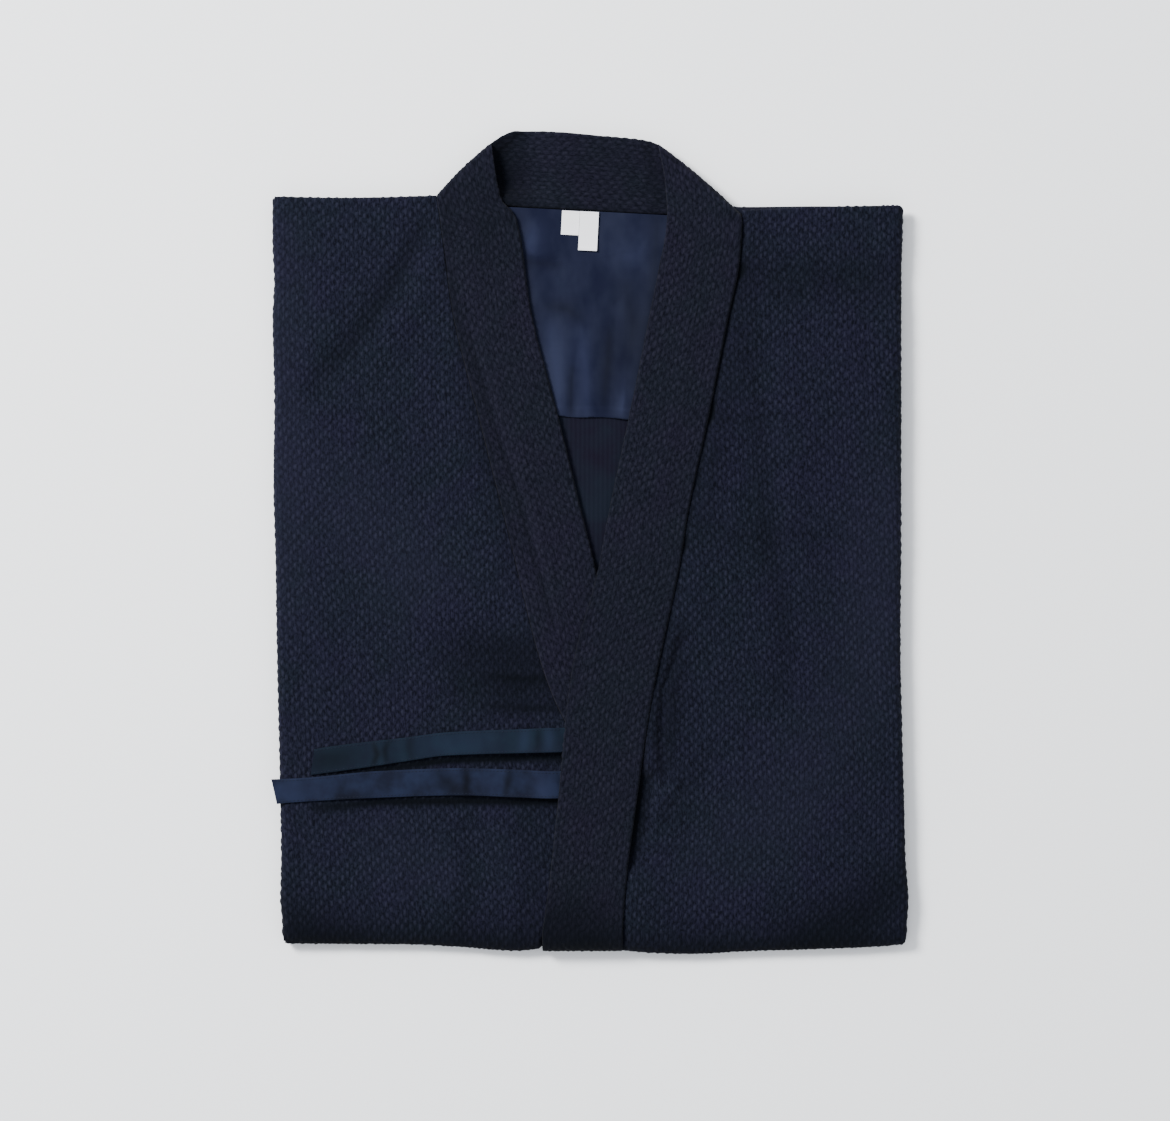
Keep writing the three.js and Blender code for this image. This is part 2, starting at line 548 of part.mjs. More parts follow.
// ---- hidden layers ----
function foldedLayers() {
  const sideSteps = 12;
  const endSteps = 24;
  const ringAt = ({ z, side, shoulder, bottom }) => {
    const ys = Array.from({ length: sideSteps }, (_, i) => i / sideSteps);
    const xs = Array.from({ length: endSteps }, (_, i) => i / endSteps);
    const topY = (x) => read(BACK_CORE_LINE, "x", x, "y") - shoulder;
    const underBand = (x) => THREE.MathUtils.smoothstep(x, -85, -57) - THREE.MathUtils.smoothstep(x, 34, 62);
    const lowY = (x) => read(BOTTOM_FOLD, "x", x, "y") + bottom + HIDDEN_HEM_RISE * underBand(x);
    const leftX = (y) => read(SIDES, "y", y, "left") + side;
    const rightX = (y) => read(SIDES, "y", y, "right") - side;
    const [tl, tr] = [leftX(310), rightX(306)];
    const [bl, br] = [leftX(-360), rightX(-360)];
    return [
      ...ys.map((s) => lerp(topY(tl), lowY(bl), s)).map((y) => [leftX(y), y]),
      ...xs.map((s) => lerp(bl, br, s)).map((x) => [x, lowY(x)]),
      ...ys.map((s) => lerp(lowY(br), topY(tr), s)).map((y) => [rightX(y), y]),
      ...xs.map((s) => lerp(tr, tl, s)).map((x) => [x, topY(x)]),
    ].map(([x, y]) => new THREE.Vector3(x, y, z));
  };
  return loft(LAYERED_EDGE.map(ringAt));
}
const BACK_CORE_LINE = [
  { x: -291, y: 316.4 },
  { x: 288, y: 308.4 },
];

// ---- the garment ----
const FINISHES = {
  sashiko: { color: "#1c2233", roughness: 0.95, metalness: 0 },
  collar: { color: "#181c2a", roughness: 0.95, metalness: 0 },
  lining: { color: "#242c42", roughness: 0.85, metalness: 0 },
  tie_cotton: { color: "#232e40", roughness: 0.85, metalness: 0 },
  label_tape: { color: "#ededf4", roughness: 0.7, metalness: 0 },
};

const PIECES = [
  { name: "folded_layers", finish: "sashiko", make: foldedLayers },
  { name: "back", finish: "sashiko", make: back },
  { name: "shoulder_lining", finish: "lining", make: shoulderLining },
  { name: "front_right", finish: "sashiko", make: () => front("front_right") },
  { name: "front_left", finish: "sashiko", make: () => front("front_left") },
  { name: "collar_neck", finish: "collar", make: neckBand },
  { name: "collar_under", finish: "collar", make: () => frontBand(UNDER_BAND, inwardOf(UNDER_BAND[0])) },
  {
    name: "collar_over",
    finish: "collar",
    make: () => frontBand(OVER_BAND, inwardOf(OVER_BAND[0]), { y: -374.6 }),
  },
  { name: "size_label", finish: "label_tape", make: () => label(SIZE_LABEL) },
  { name: "care_label", finish: "label_tape", make: () => label(CARE_LABEL) },
  { name: "tie_upper", finish: "tie_cotton", make: () => tie(TIE_UPPER) },
  { name: "tie_lower", finish: "tie_cotton", make: () => tie(TIE_LOWER) },
];

const group = new THREE.Group();
for (const { name, finish, make } of PIECES) {
  const mesh = new THREE.Mesh(make(), new THREE.MeshStandardMaterial(FINISHES[finish]));
  mesh.name = name;
  group.add(mesh);
}
const centre = new THREE.Box3().setFromObject(group).getCenter(new THREE.Vector3());
group.children.forEach((mesh) => mesh.geometry.translate(-centre.x, -centre.y, 0));

export default group;
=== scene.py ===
"""A folded kendo jacket (keikogi) of indigo sashiko cotton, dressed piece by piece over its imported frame.

Cloth is worked out in millimetres in the maker's own frame: +X to the right seen from above, +Y to the
shoulders, +Z up, with the underside at z = 0. Meshes are written in metres.
"""

import math
from collections import namedtuple

import bpy
import numpy as np
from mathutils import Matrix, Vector
from mathutils.geometry import delaunay_2d_cdt


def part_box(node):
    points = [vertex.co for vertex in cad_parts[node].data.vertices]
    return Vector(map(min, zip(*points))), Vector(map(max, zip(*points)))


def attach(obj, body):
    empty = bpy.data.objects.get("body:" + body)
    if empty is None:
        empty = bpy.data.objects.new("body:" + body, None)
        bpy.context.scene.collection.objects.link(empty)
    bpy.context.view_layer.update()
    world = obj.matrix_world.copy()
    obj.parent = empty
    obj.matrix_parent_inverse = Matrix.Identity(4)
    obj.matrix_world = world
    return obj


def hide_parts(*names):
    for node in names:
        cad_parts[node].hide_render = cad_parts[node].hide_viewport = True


bl_info = {
    "name": "Folded Kendo Jacket",
    "version": (1, 0, 0),
    "blender": (4, 5, 0),
    "location": "View3D > Sidebar > Kendo Jacket",
    "description": "Lays out a folded kendo jacket of sashiko cotton",
    "category": "Add Mesh",
}

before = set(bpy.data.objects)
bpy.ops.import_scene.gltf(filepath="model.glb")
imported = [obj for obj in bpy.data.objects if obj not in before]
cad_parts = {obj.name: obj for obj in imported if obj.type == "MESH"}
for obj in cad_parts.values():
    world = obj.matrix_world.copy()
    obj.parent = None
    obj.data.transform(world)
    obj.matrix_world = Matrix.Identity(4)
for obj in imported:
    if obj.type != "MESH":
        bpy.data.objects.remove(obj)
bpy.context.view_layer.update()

MM = 0.001


def table(names, *rows):
    """A table with named columns, each an array down the rows."""
    return dict(zip(names.split(), np.array(rows, dtype=float).T))


# ---- driving dimensions ----
GAP = 0.3  # air between neighbouring pieces
SASHIKO = 2.0  # wall of the quilted rice-grain cloth
BAND = 4.4  # wall of the collar band, several layers sewn flat
LINING, TIE, LABEL = 0.8, 1.4, 0.5  # walls of the plain cottons and the tape

CORE_TOP = 12.4  # top of the hidden sleeves and skirt, folded behind
BACK_TOP = CORE_TOP + GAP + SASHIKO
LINING_TOP = BACK_TOP + GAP + 1.0
PANEL_TOP = 18.9  # usual height of a front's outer skin
PANEL_LOWEST = BACK_TOP + GAP + SASHIKO + 0.1
SEAM_STEP = 0.9  # a front meets the band this far below the band's top
CORNER_SHARE = 0.12  # where two folds meet, this share of the lesser drop is added to the greater
CORNER_PULL = 2.4  # folded corners are drawn in this far, which rounds them
CORNER_TURN = (0.4, 1.5)  # radians of a fold between which a corner goes over to its rounded form
FLOOR_AIR = 1.0  # turned cloth ends at least this far above the floor

Fold = namedtuple("Fold", "radius height end_deg")
SIDE_FOLD = Fold(8, 6.5, 120)
HEM_FOLD = Fold(18, 9.3, 150)
SHOULDER_FOLD = Fold(4, 2.4, 90)
BACK_FOLD = Fold(5, 5, 90)
NECK_FOLD = Fold(5.5, 5.5, 130)
HEM_LOWEST = 1.6  # height at which the cloth turned behind at the bottom ends

# ---- outline of the folded body ----
SIDES = table(
    "y left right",
    (318, -290.5, 287.8), (277, -290.5, 286.8), (240, -288.9, 285.9), (203, -290.4, 285.8),
    (130, -288.7, 285.7), (57, -289.6, 285.7), (-16, -287.8, 285.6), (-89, -286.6, 285.0),
    (-162, -285.0, 286.3), (-240, -283.2, 288.4), (-290, -282.6, 289.6), (-327, -283.2, 292.3),
    (-352, -281.6, 291.0), (-364, -284.4, 290.5), (-378, -279.5, 289.8),
)
SHOULDER_LINE = table(
    "x y",
    (-291, 317), (-215, 315.8), (-139, 317.6), (137, 304.4), (168, 305.6), (211, 307.6), (288, 309),
)
BACK_LINE = table(
    "x y",
    (-291, 315), (-141, 317.2), (-130, 314), (-120, 310.4), (-69, 306.4), (70, 299.2), (118, 304.6),
    (127, 308), (139, 307.8), (211, 308.4), (288, 307.4),
)
BACK_CORE_LINE = table("x y", (-291, 316.4), (288, 308.4))
BOTTOM_FOLD = table(
    "x y",
    (-283, -368), (-173, -368.5), (-118, -371), (-66, -374.6), (-45, -372.8), (-27, -374.7), (27, -374),
    (55, -376.4), (92, -377.4), (147, -374.8), (211, -372.9), (275, -370), (292, -367),
)
BAND_HEM_LINE = -374.6  # y of the over band's bottom fold

# ---- collar band: each row runs from the seam on the body to the free edge ----
BAND_COLUMNS = "seam_x seam_y edge_x edge_y seam_top edge_top"
UNDER_BAND = table(
    BAND_COLUMNS,
    (-140, 317.8, -90, 366.4, 21.8, 18.2),
    (-138.8, 308, -86.5, 342, 21.6, 21),
    (-137.2, 298, -80.5, 314, 21.2, 21.6),
    (-136.2, 289, -70.5, 302.5, 20.9, 21.4),
    (-134.5, 277, -64.8, 289, 20.7, 21.2),
    (-125.8, 212.7, -53.5, 212.7, 20.7, 20.9),
    (-102.9, 120.3, -29.7, 120.3, 20.6, 20.8),
    (-71.8, -2.3, 0.5, -2.3, 20.1, 20.1),
    (-46.2, -104.8, 26, -104.8, 20, 19.7),
    (-33, -142, 38, -142, 19.8, 19.7),
    (-22, -165, 44, -165, 19.7, 19.7),
)
OVER_BAND = table(
    BAND_COLUMNS,
    (139.2, 300.5, 62.7, 365.5, 21.4, 19.2),
    (139.8, 292, 69, 332, 21.2, 21.6),
    (139.4, 280, 71, 299, 21, 21.6),
    (136.4, 249, 63, 249, 20.8, 21),
    (128.2, 210.9, 55.4, 210.9, 20.8, 20.9),
    (110.3, 120.3, 37.1, 120.3, 20.8, 20.8),
    (90, 25, 17, 25, 21, 21.6),
    (83.7, -16, 9.6, -16, 22, 24.6),
    (79, -40, 4, -40, 23, 25.3),
    (65.4, -102, -13.3, -102, 24, 25.6),
    (57.2, -143.2, -19.7, -143.2, 24.2, 26),
    (43.5, -235.6, -28.8, -235.6, 23.6, 26),
    (33.4, -313.4, -37.1, -313.4, 23.2, 24.2),
    (29.4, -366, -44.5, -366, 23, 23.6),
)
NECK_BAND = table(
    BAND_COLUMNS,
    (-131.5, 313.6, -90.2, 366.2, 17, 15.8),
    (-102, 311, -79.5, 373.2, 17.1, 15.2),
    (-76, 308.4, -69, 377.4, 17.1, 14.9),
    (-56, 306.8, -54, 377.8, 17.1, 14.8),
    (-27, 305.2, -27, 376.4, 17.1, 14.7),
    (9.6, 303.4, 9.6, 373, 17.1, 14.7),
    (44, 301.6, 44, 369.6, 17.1, 14.9),
    (70, 300.6, 56, 367.6, 17.1, 15.3),
    (129, 306.4, 62.2, 365.2, 17, 15.8),
)
NECK_TOP = 376.6  # highest point of the free edge behind the neck
FOLD_BOW = 1.8  # how far the fold beside the neck bows out between its ends
BAND_EDGE = 2.6  # how far in from its edge the band's section is round

# ---- lining, ties and labels ----
LINING_ROWS = table("y left right", (303.4, -92, 94), (240, -92, 92), (180, -84, 84), (114.6, -66, 72))
LINING_TILT = -0.052  # its edges follow the slanted neckline: rise per mm to the right
TIE_COLUMNS = "x top_y low_y skin"
TIE_UPPER = table(
    TIE_COLUMNS,
    (-18, -169.4, -191.6, 20.8), (-33, -169.6, -192, 21), (-60, -170.6, -192.6, 21.4),
    (-128, -173.4, -194.8, 20.8), (-171.5, -178.8, -200.8, 20.7), (-213.6, -183.5, -207.2, 20.8),
    (-254.8, -189, -212.8, 20.6),
)
TIE_LOWER = table(
    TIE_COLUMNS,
    (-20, -209.4, -234, 20.7), (-36, -209.2, -234.2, 21.1), (-70, -207.6, -233, 21.2),
    (-117, -206.4, -231.4, 20.8), (-192.6, -209, -233.6, 20.6), (-264, -215.5, -237.4, 20.7),
    (-291, -216.6, -239.4, 20),
)
# slant: how far a tie's free end leans over its width; rise: how far its lower edge stands up where it leaves
# the band; wrinkles: each one's place along the tie, its half width and its height.
Tie = namedtuple("Tie", "rows slant rise wrinkles")
TIES = {
    "tie_upper": Tie(TIE_UPPER, -3, 2.2, table(
        "x half height",
        (-190, 5, 1.0), (-176, 4, -0.5), (-126, 6, 0.8), (-92, 5, -0.5), (-50, 7, 1.0), (-22, 6, -1.5),
    )),
    "tie_lower": Tie(TIE_LOWER, 5, 1.8, table(
        "x half height",
        (-254, 5, -0.6), (-210, 7, 0.8), (-160, 5, -0.5), (-118, 6, 1.0), (-72, 6, 0.8), (-42, 6, 0.7),
        (-24, 6, -1.5),
    )),
}
TIE_EDGE = 0.6  # how far in from its edge a tie's section is round
TIE_CROWN = 0.12  # how far the middle of a tie stands up
TIE_STEP = 1.4  # between the rings of its mesh
Label = namedtuple("Label", "left top width length turn_deg lift")
LABELS = {
    "size_label": Label(-25, 304, 16.2, 22, -3, 0.15),
    "care_label": Label(-8.6, 303.2, 17.2, 35.6, -3, 1.1),
}

# The hidden layers' edge, layer on layer: how far each height lies inside the outline.
LAYERED_EDGE = table(
    "z side shoulder bottom",
    (0, 9, 9, 13), (0.5, 4.6, 5, 11.4), (1.9, 2.2, 2.6, 10.4), (3.3, 3.6, 4, 7.4), (3.8, 7, 7.4, 7),
    (4.3, 3.4, 3.8, 6.2), (5.9, 1.8, 2, 4.6), (7.3, 3.2, 3.6, 3.6), (7.8, 6.8, 7.6, 3.4),
    (8.8, 3.8, 7, 3.2), (11.2, 4, 7.2, 3.6), (CORE_TOP, 5.6, 8.4, 5.4),
)

# ---- strokes: soft marks over a piece, each with its half width, its amount and the points of its path ----
Stroke = namedtuple("Stroke", "half amount path")


def strokes(*rows):
    """Strokes from rows that each hold a half width, an amount and the points of a path."""
    return [Stroke(half, amount, path) for half, amount, *path in rows]


# Folds pressed or pulled into the cloth, in millimetres: troughs below 0, ridges above.
CREASES = {
    "front_right": strokes(
        (12, -2.4, (-150, 292), (-181, 235), (-216, 184), (-252, 144)),
        (16, 2.2, (-136, 262), (-160, 214), (-186, 178)),
        (11, -1.8, (-112, -92), (-66, -106), (-22, -104)),
        (9, -1.8, (-104, -138), (-60, -140), (-20, -138)),
        (5, -1.6, (-150, -203), (-90, -200), (-20, -199)),
        (5, -1.6, (-190, -243), (-100, -240), (-20, -241)),
        (11, -1.5, (-112, -262), (-108, -310), (-114, -352)),
        (10, -1.5, (-56, -260), (-50, -305), (-54, -352)),
        (13, 1.2, (-176, -250), (-172, -300), (-176, -345)),
    ),
    "front_left": strokes(
        (12, -1.7, (152, 188), (160, 41), (169, -20), (184, -97), (176, -150)),
        (12, -0.8, (176, -140), (150, -172), (120, -196)),
        (18, 1.4, (178, 150), (186, 40), (200, -40), (210, -110)),
        (10, -1.5, (113, -201), (84, -236), (62, -262)),
        (4, -0.4, (104, 113), (145, 112), (190, 114)),
        (18, -1.6, (168, 250), (225, 242), (280, 246)),
        (5, -4.6, (84, -92), (68, -134), (66, -182), (70, -222)),
        (5, 1.8, (58, -134), (54, -180), (55, -210)),
        (3.6, -1.1, (142, 285), (141, 274)),
        (4.4, -1.5, (143, 256), (139, 244)),
        (3.6, -1.1, (127, 196), (124, 187)),
        (4, -1.3, (115, 126), (111, 113)),
        (3.4, -1.0, (102, 62), (98, 52)),
        (4.4, -1.3, (90, 4), (88, -8)),
        (8.5, -8, (54, -218), (49, -242), (42, -292)),
    ),
    "collar_under": strokes(
        (3, -0.9, (-110, 190), (-88, 110), (-64.5, 40), (-51, -12), (-33, -75)),
        (8, 0.5, (-109, 238), (-68, 100), (-27, -76)),
    ),
    "collar_over": strokes(
        (6, 0.5, (100, 240), (84, 150), (66, 40)),
        (10, -0.6, (17, -150), (2, -250), (-6, -340)),
    ),
    "shoulder_lining": strokes(
        (9, 0.9, (-24, 190), (-25, 150), (-26, 118)),
        (4, -0.9, (-10, 182), (-15, 150), (-16, 116)),
        (8, 0.9, (2, 210), (0, 160), (1, 116)),
        (6, -0.9, (24, 214), (21, 160), (17, 118)),
        (5, 1.0, (33, 150), (32, 132), (30, 118)),
        (8, 1.2, (-34, 248), (-27, 238), (-14, 226)),
        (5, -0.9, (-56, 268), (-40, 256), (-28, 260)),
        (9, 1.2, (10, 262), (32, 268), (50, 262)),
        (9, -0.9, (6, 226), (20, 215), (36, 232)),
    ),
}

# Painted shade and painted highlight in the colour. Below 0 it darkens as painted shade: creases, wrinkles,
# hems, seams, the band's edges and fold, and the cloth under the ties. Above 0 it lightens ridges and broad
# patches as painted highlight, partly faded indigo.
PAINTED_SHADE_AND_DYE = {
    "front_right": strokes(
        (10, -0.6, (-150, 292), (-181, 235), (-216, 184), (-252, 144)),
        (17, -0.45, (-118, 300), (-112, 231), (-95, 101), (-60, -20)),
        (26, -0.75, (-122, -98), (-66, -106), (-10, -104)),
        (20, -0.5, (-110, -140), (-60, -142), (-10, -140)),
        (4, -0.5, (-96, -122), (-60, -125), (-18, -124)),
        (4, -0.6, (-92, -150), (-56, -152), (-16, -152)),
        (4.2, -1.5, (-230, -214), (-171, -204.5), (-128, -199), (-60, -197), (20, -196)),
        (4.6, -1.5, (-250, -243), (-192, -237.5), (-117, -236), (-70, -237), (30, -239)),
        (12, -0.3, (-112, -262), (-108, -310), (-114, -352)),
        (14, -0.35, (-56, -250), (-50, -305), (-54, -352)),
        (27, -1.1, (-330, -380), (-160, -378), (40, -380)),
        (26, -0.6, (-290, -322), (-270, -348), (-225, -360)),
        (26, 0.25, (-282, 290), (-284, 160), (-280, -60)),
        (44, 0.2, (-240, 60), (-170, -20), (-150, -60)),
        (34, 0.15, (-190, -270), (-150, -300), (-96, -290)),
    ),
    "front_left": strokes(
        (11, -0.3, (152, 188), (160, 41), (169, -20), (184, -97), (176, -150)),
        (12, -0.2, (113, -201), (84, -236), (62, -262)),
        (22, -0.4, (150, 240), (225, 238), (290, 240)),
        (16, -0.35, (142, 300), (140, 240), (132, 170), (116, 90), (100, 20)),
        (3, -0.2, (104, 113), (145, 112), (190, 114)),
        (4, -0.7, (143, 256), (139, 244)),
        (3.6, -0.6, (115, 126), (111, 113)),
        (4, -0.6, (90, 4), (88, -8)),
        (14, -0.25, (104, 6), (150, 4), (208, 8)),
        (9, -0.7, (82, -80), (74, -150), (70, -205)),
        (9, -0.9, (50, -214), (46, -242), (40, -290)),
        (25, -1.0, (-20, -382), (160, -380), (335, -378)),
        (26, -0.75, (196, -354), (250, -336), (296, -306)),
        (2.2, -0.75, (141, 290), (137.5, 249), (129.5, 211), (112, 120), (92, 25), (81, -40)),
        (2.4, -0.65, (82, -40), (67, -102), (59, -143), (45, -235), (37, -300)),
        (40, 0.25, (268, 60), (262, -60), (250, -140)),
        (44, 0.2, (215, -180), (180, -240), (120, -290)),
    ),
    "collar_under": strokes(
        (2.6, -0.5, (-110, 190), (-88, 110), (-64.5, 40), (-51, -12), (-33, -75)),
        (3, 0.2, (-104, 190), (-82, 110), (-58.5, 40), (-45, -12), (-27, -75)),
        (7, -0.45, (-128, 330), (-134, 270), (-125, 212), (-102, 120), (-71, -2)),
        (22, -0.35, (-100, 350), (-96, 310), (-92, 270)),
        (3.5, -0.3, (-84, 345), (-76, 305), (-62, 280), (-52, 212), (-28, 120), (2, -2)),
    ),
    "collar_over": strokes(
        (3, -0.3, (64, 355), (70, 310), (68, 270), (62, 249), (54, 211), (36, 120), (16, 25)),
        (3.5, -0.7, (9, -16), (3, -40), (-14, -102), (-21, -143)),
        (3, -0.4, (-21, -143), (-29, -235), (-38, -313), (-45, -372)),
        (1.8, -0.6, (139, 296), (136, 249), (128, 211), (110, 120), (90, 25), (79, -40)),
        (1.8, -0.5, (79, -40), (65, -102), (57, -143), (43.5, -235), (35, -300)),
        (24, -1.0, (-70, -378), (-8, -378), (60, -378)),
        (27, -0.7, (-60, -346), (-20, -342), (18, -348)),
    ),
    "collar_neck": strokes(
        (11, -0.85, (-90, 376), (-82, 340), (-74, 300)),
        (13, -0.4, (-72, 372), (-66, 340), (-60, 304)),
        (60, -0.28, (-100, 345), (0, 340), (110, 338)),
        (8, -0.4, (-60, 303), (0, 300), (60, 299)),
        (7, -0.4, (52, 366), (58, 340), (62, 306)),
    ),
    "shoulder_lining": strokes(
        (7, -0.5, (-66, 296), (-56, 210), (-38, 112)),
        (8, -0.6, (62, 296), (58, 210), (40, 112)),
        (8, -0.6, (-36, 216), (-20, 214), (-8, 204)),
        (8, -0.7, (18, 192), (16, 160), (13, 128)),
        (12, -0.6, (34, 232), (40, 200), (36, 170)),
        (6, -0.5, (-58, 258), (-44, 256), (-30, 254)),
        (3.5, -0.6, (-16, 158), (-17, 138), (-17, 118)),
        (10, 0.6, (-52, 284), (-56, 270), (-50, 264)),
        (12, 0.3, (28, 262), (44, 262), (50, 274)),
        (11, 0.4, (-36, 196), (-30, 150), (-27, 118)),
        (10, 0.35, (-8, 200), (-3, 150), (-3, 110)),
        (6, 0.4, (32, 136), (30, 124), (30, 116)),
    ),
    "tie_upper": strokes(
        (13, -0.7, (-254, -200), (-236, -198), (-218, -195)),
        (3, -0.9, (-197, -184), (-194, -194), (-198, -204)),
        (3, -0.8, (-184, -182), (-187, -190), (-186, -200)),
        (4, -0.5, (-164, -178), (-165, -188), (-163, -198)),
        (12, 0.4, (-150, -186), (-120, -184), (-96, -183)),
        (5, 0.7, (-59, -172), (-60, -182), (-61, -190)),
        (5, 0.7, (-37, -170), (-37, -180), (-38, -190)),
        (3, -0.5, (-46, -170), (-47, -180), (-48, -190)),
    ),
    "tie_lower": strokes(
        (9, 0.6, (-288, -228), (-262, -227), (-240, -225)),
        (5, -0.5, (-236, -234), (-222, -234), (-206, -233)),
        (8, -0.7, (-138, -212), (-130, -220), (-122, -228)),
        (4, -1.0, (-113, -208), (-112, -218), (-113, -230)),
        (4, -1.0, (-73, -210), (-75, -220), (-77, -231)),
        (9, 0.4, (-94, -220), (-88, -220), (-84, -220)),
        (9, 0.8, (-44, -211), (-42, -220), (-42, -230)),
    ),
}

# Slack left in the fronts by hand: long waves, each a height and the lengths it takes along X and Y.
SLACK = table(
    "height length_x length_y start",
    (0.35, 239, 565, 0), (0.3, -754, 358, 0.25), (0.14, 71, -133, 0.4), (0.12, -49, -88, 0.1),
)

# ---- how the fronts lie ----
# outward: its way out from the middle; side: its column in SIDES; band: the one it is sewn to; seam_reach:
# how far in the seam lifts it; seam_dip, seam_half: depth and half width of the pull at its seam; turns: how
# its weave turns from the garment's length, in degrees.
Front = namedtuple("Front", "outward side band seam_reach seam_dip seam_half turns")
FRONTS = {
    "front_right": Front(
        -1, "left", UNDER_BAND, 22, 0.5, 2.5,
        table("y turn", (-380, -6), (-280, -4), (-150, -2), (0, -3), (150, -1), (320, 0)),
    ),
    "front_left": Front(
        1, "right", OVER_BAND, 34, 2.2, 3.6,
        table("y turn", (-380, 4), (-300, 2), (-200, -1), (-80, -3), (60, -3), (320, 0)),
    ),
}
TUCK_X = -2  # below the crossing the right front runs on under the over band, as far as this
TUCK_TOP, TUCK_FULL = -165, -200  # y where it starts to run under, and where it lies under in full
TUCK_PRESSED = 0.5  # how far the over band presses it down
TUCK_EDGE = (-62, -46)  # x over which it is pressed down
HEM_DRAWN = 0.9  # the left front's seam is drawn in this far at its hem
HEM_EASE = 2.2  # the cloth already leans down this much before its bottom fold
HIDDEN_HEM_RISE = 8  # hems under the bands lie this far above the bottom fold
PANEL_TOP_Y = 310  # rows of cloth are counted from here
PANEL_LENGTH = 680  # a front from its shoulder fold to its bottom fold, as rows are counted

# ---- how the back lies ----
BACK_INSET = 3.6  # it stops this far inside the sides
BACK_END = 16  # and this far inside the bottom fold
BACK_LENGTH = 665  # from its shoulder fold to its lower end, as rows are counted
BACK_HALF = 281  # half its width
NECKLINE_HALF = 126  # the neckline is a cut edge, the shoulders beside it are folds
BACK_SEEN = (-62, 62, -50)  # the part that shows between the bands: x from, x to, y from

# ---- weave: rice grains in staggered columns ----
GRAIN_PITCH = 4.16  # from one column of grains to the next
GRAIN_LENGTH = 8.8  # from one grain to the next along a column
COLUMN_STEP = GRAIN_PITCH / 3
ROW_STEP = GRAIN_LENGTH / 6
GRAIN_ENDS = (-1.0, 0.95)  # a grain fades out between these values of the wave along its column
GRAIN_SHARPNESS = 1.5  # how sharply it falls away at its sides
GRAIN_MEAN = 0.3  # the grains' mean, taken off so that they rise and fall about the cloth's mean skin
GRAIN_STRAY = (0.35, 0.3)  # how far grains stray across and along, as shares of their pitch and length
GRAIN_LIVELY = (0.6, 0.8)  # the least height of a grain against the usual one, and what liveliness adds
PANEL_RELIEF, BAND_RELIEF, LAYER_RELIEF = 0.75, 0.65, 0.7  # height of the grains
SEAM_CALM = 6  # grains are pressed flat within this distance of a seam

# The maker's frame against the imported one, from two pieces whose ends are named above.
SHIFT = (
    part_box("tie_lower")[0].x / MM - TIE_LOWER["x"].min(),
    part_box("collar_neck")[1].y / MM - NECK_TOP,
)


# ---- small tools ----
def linear(hex_colour):
    """An sRGB hex colour as a linear colour with full alpha."""
    channels = [int(hex_colour[i : i + 2], 16) / 255 for i in (1, 3, 5)]
    return tuple(c / 12.92 if c <= 0.04045 else ((c + 0.055) / 1.055) ** 2.4 for c in channels) + (1.0,)


def scaled(colour, share):
    """A linear colour made darker or paler by a share."""
    return tuple(c * share for c in colour[:3]) + (1.0,)


def curve(xs, ys, x):
    """A smooth curve through points, with no overshoot between them."""
    gaps = np.diff(xs)
    slopes = np.diff(ys) / gaps
    bends = np.empty(len(ys))
    bends[0], bends[-1] = slopes[0], slopes[-1]
    both = slopes[:-1] * slopes[1:]
    total = np.where(both > 0, slopes[:-1] + slopes[1:], 1)
    bends[1:-1] = np.where(both > 0, 2 * both / total, 0)
    x = np.clip(x, xs[0], xs[-1])
    k = np.clip(np.searchsorted(xs, x, side="right") - 1, 0, len(gaps) - 1)
    t = (x - xs[k]) / gaps[k]
    near = ys[k] * (1 + 2 * t) + bends[k] * gaps[k] * t
    far = ys[k + 1] * (3 - 2 * t) + bends[k + 1] * gaps[k] * (t - 1)
    return near * (1 - t) ** 2 + far * t**2


def at(rows, key, value, column):
    """A table's column at values of its key column."""
    order = np.argsort(rows[key])
    return curve(rows[key][order], rows[column][order], value)


def soft_step(value, low, high):
    """0 below low, 1 above high, smooth between."""
    t = np.clip((value - low) / (high - low), 0, 1)
    return t * t * (3 - 2 * t)


def fold(shape, angle, depth):
    """Where cloth lies on a fold: its inset from the outline and its drop; depth is under the outer skin."""
    inset = shape.radius - (shape.radius - depth) * np.sin(angle)
    drop = shape.height - (shape.height - depth) * np.cos(angle)
    return inset, drop


def fold_arc(shape):
    """Millimetres of cloth for a radian of a fold."""
    return (shape.radius + shape.height) / 2


def fold_length(shape):
    return fold_arc(shape) * math.radians(shape.end_deg)


def fold_angle(shape, past):
    """How far round a fold cloth is, past millimetres beyond its start."""
    return np.clip(past / fold_arc(shape), 0, math.radians(shape.end_deg))


def hem_fold(skin):
    """The bottom fold of cloth whose outer skin is at a height, ending just above the floor."""
    return HEM_FOLD._replace(height=(skin - HEM_LOWEST) / (1 - math.cos(math.radians(HEM_FOLD.end_deg))))


def nearest(path, x, y):
    """Distance from points to a path, and how far along the path the nearest place is, 0 to 1."""
    best = np.full(np.shape(x), np.inf)
    along = np.zeros(np.shape(x))
    for i, ((ax, ay), (bx, by)) in enumerate(zip(path, path[1:])):
        dx, dy = bx - ax, by - ay
        share = np.clip(((x - ax) * dx + (y - ay) * dy) / (dx * dx + dy * dy), 0, 1)
        distance = np.hypot(x - ax - share * dx, y - ay - share * dy)
        along = np.where(distance < best, (i + share) / (len(path) - 1), along)
        best = np.minimum(best, distance)
    return best, along


def marked(marks, name, x, y):
    """What a piece's strokes add at points of the plan: a height from its creases, or an amount of painted
    shade (below 0) and painted highlight with faded dye (above 0).
    """
    total = np.zeros(np.shape(x))
    sharp = 1.25 if name == "shoulder_lining" else 2  # thin cotton marks in keener lines than quilted cloth
    for stroke in marks.get(name, ()):
        distance, along = nearest(stroke.path, x, y)
        ends = np.sqrt(np.sin(np.pi * (0.12 + 0.76 * along)))  # a stroke fades towards its ends
        total += stroke.amount * np.exp(-((distance / stroke.half) ** sharp)) * ends
    return total


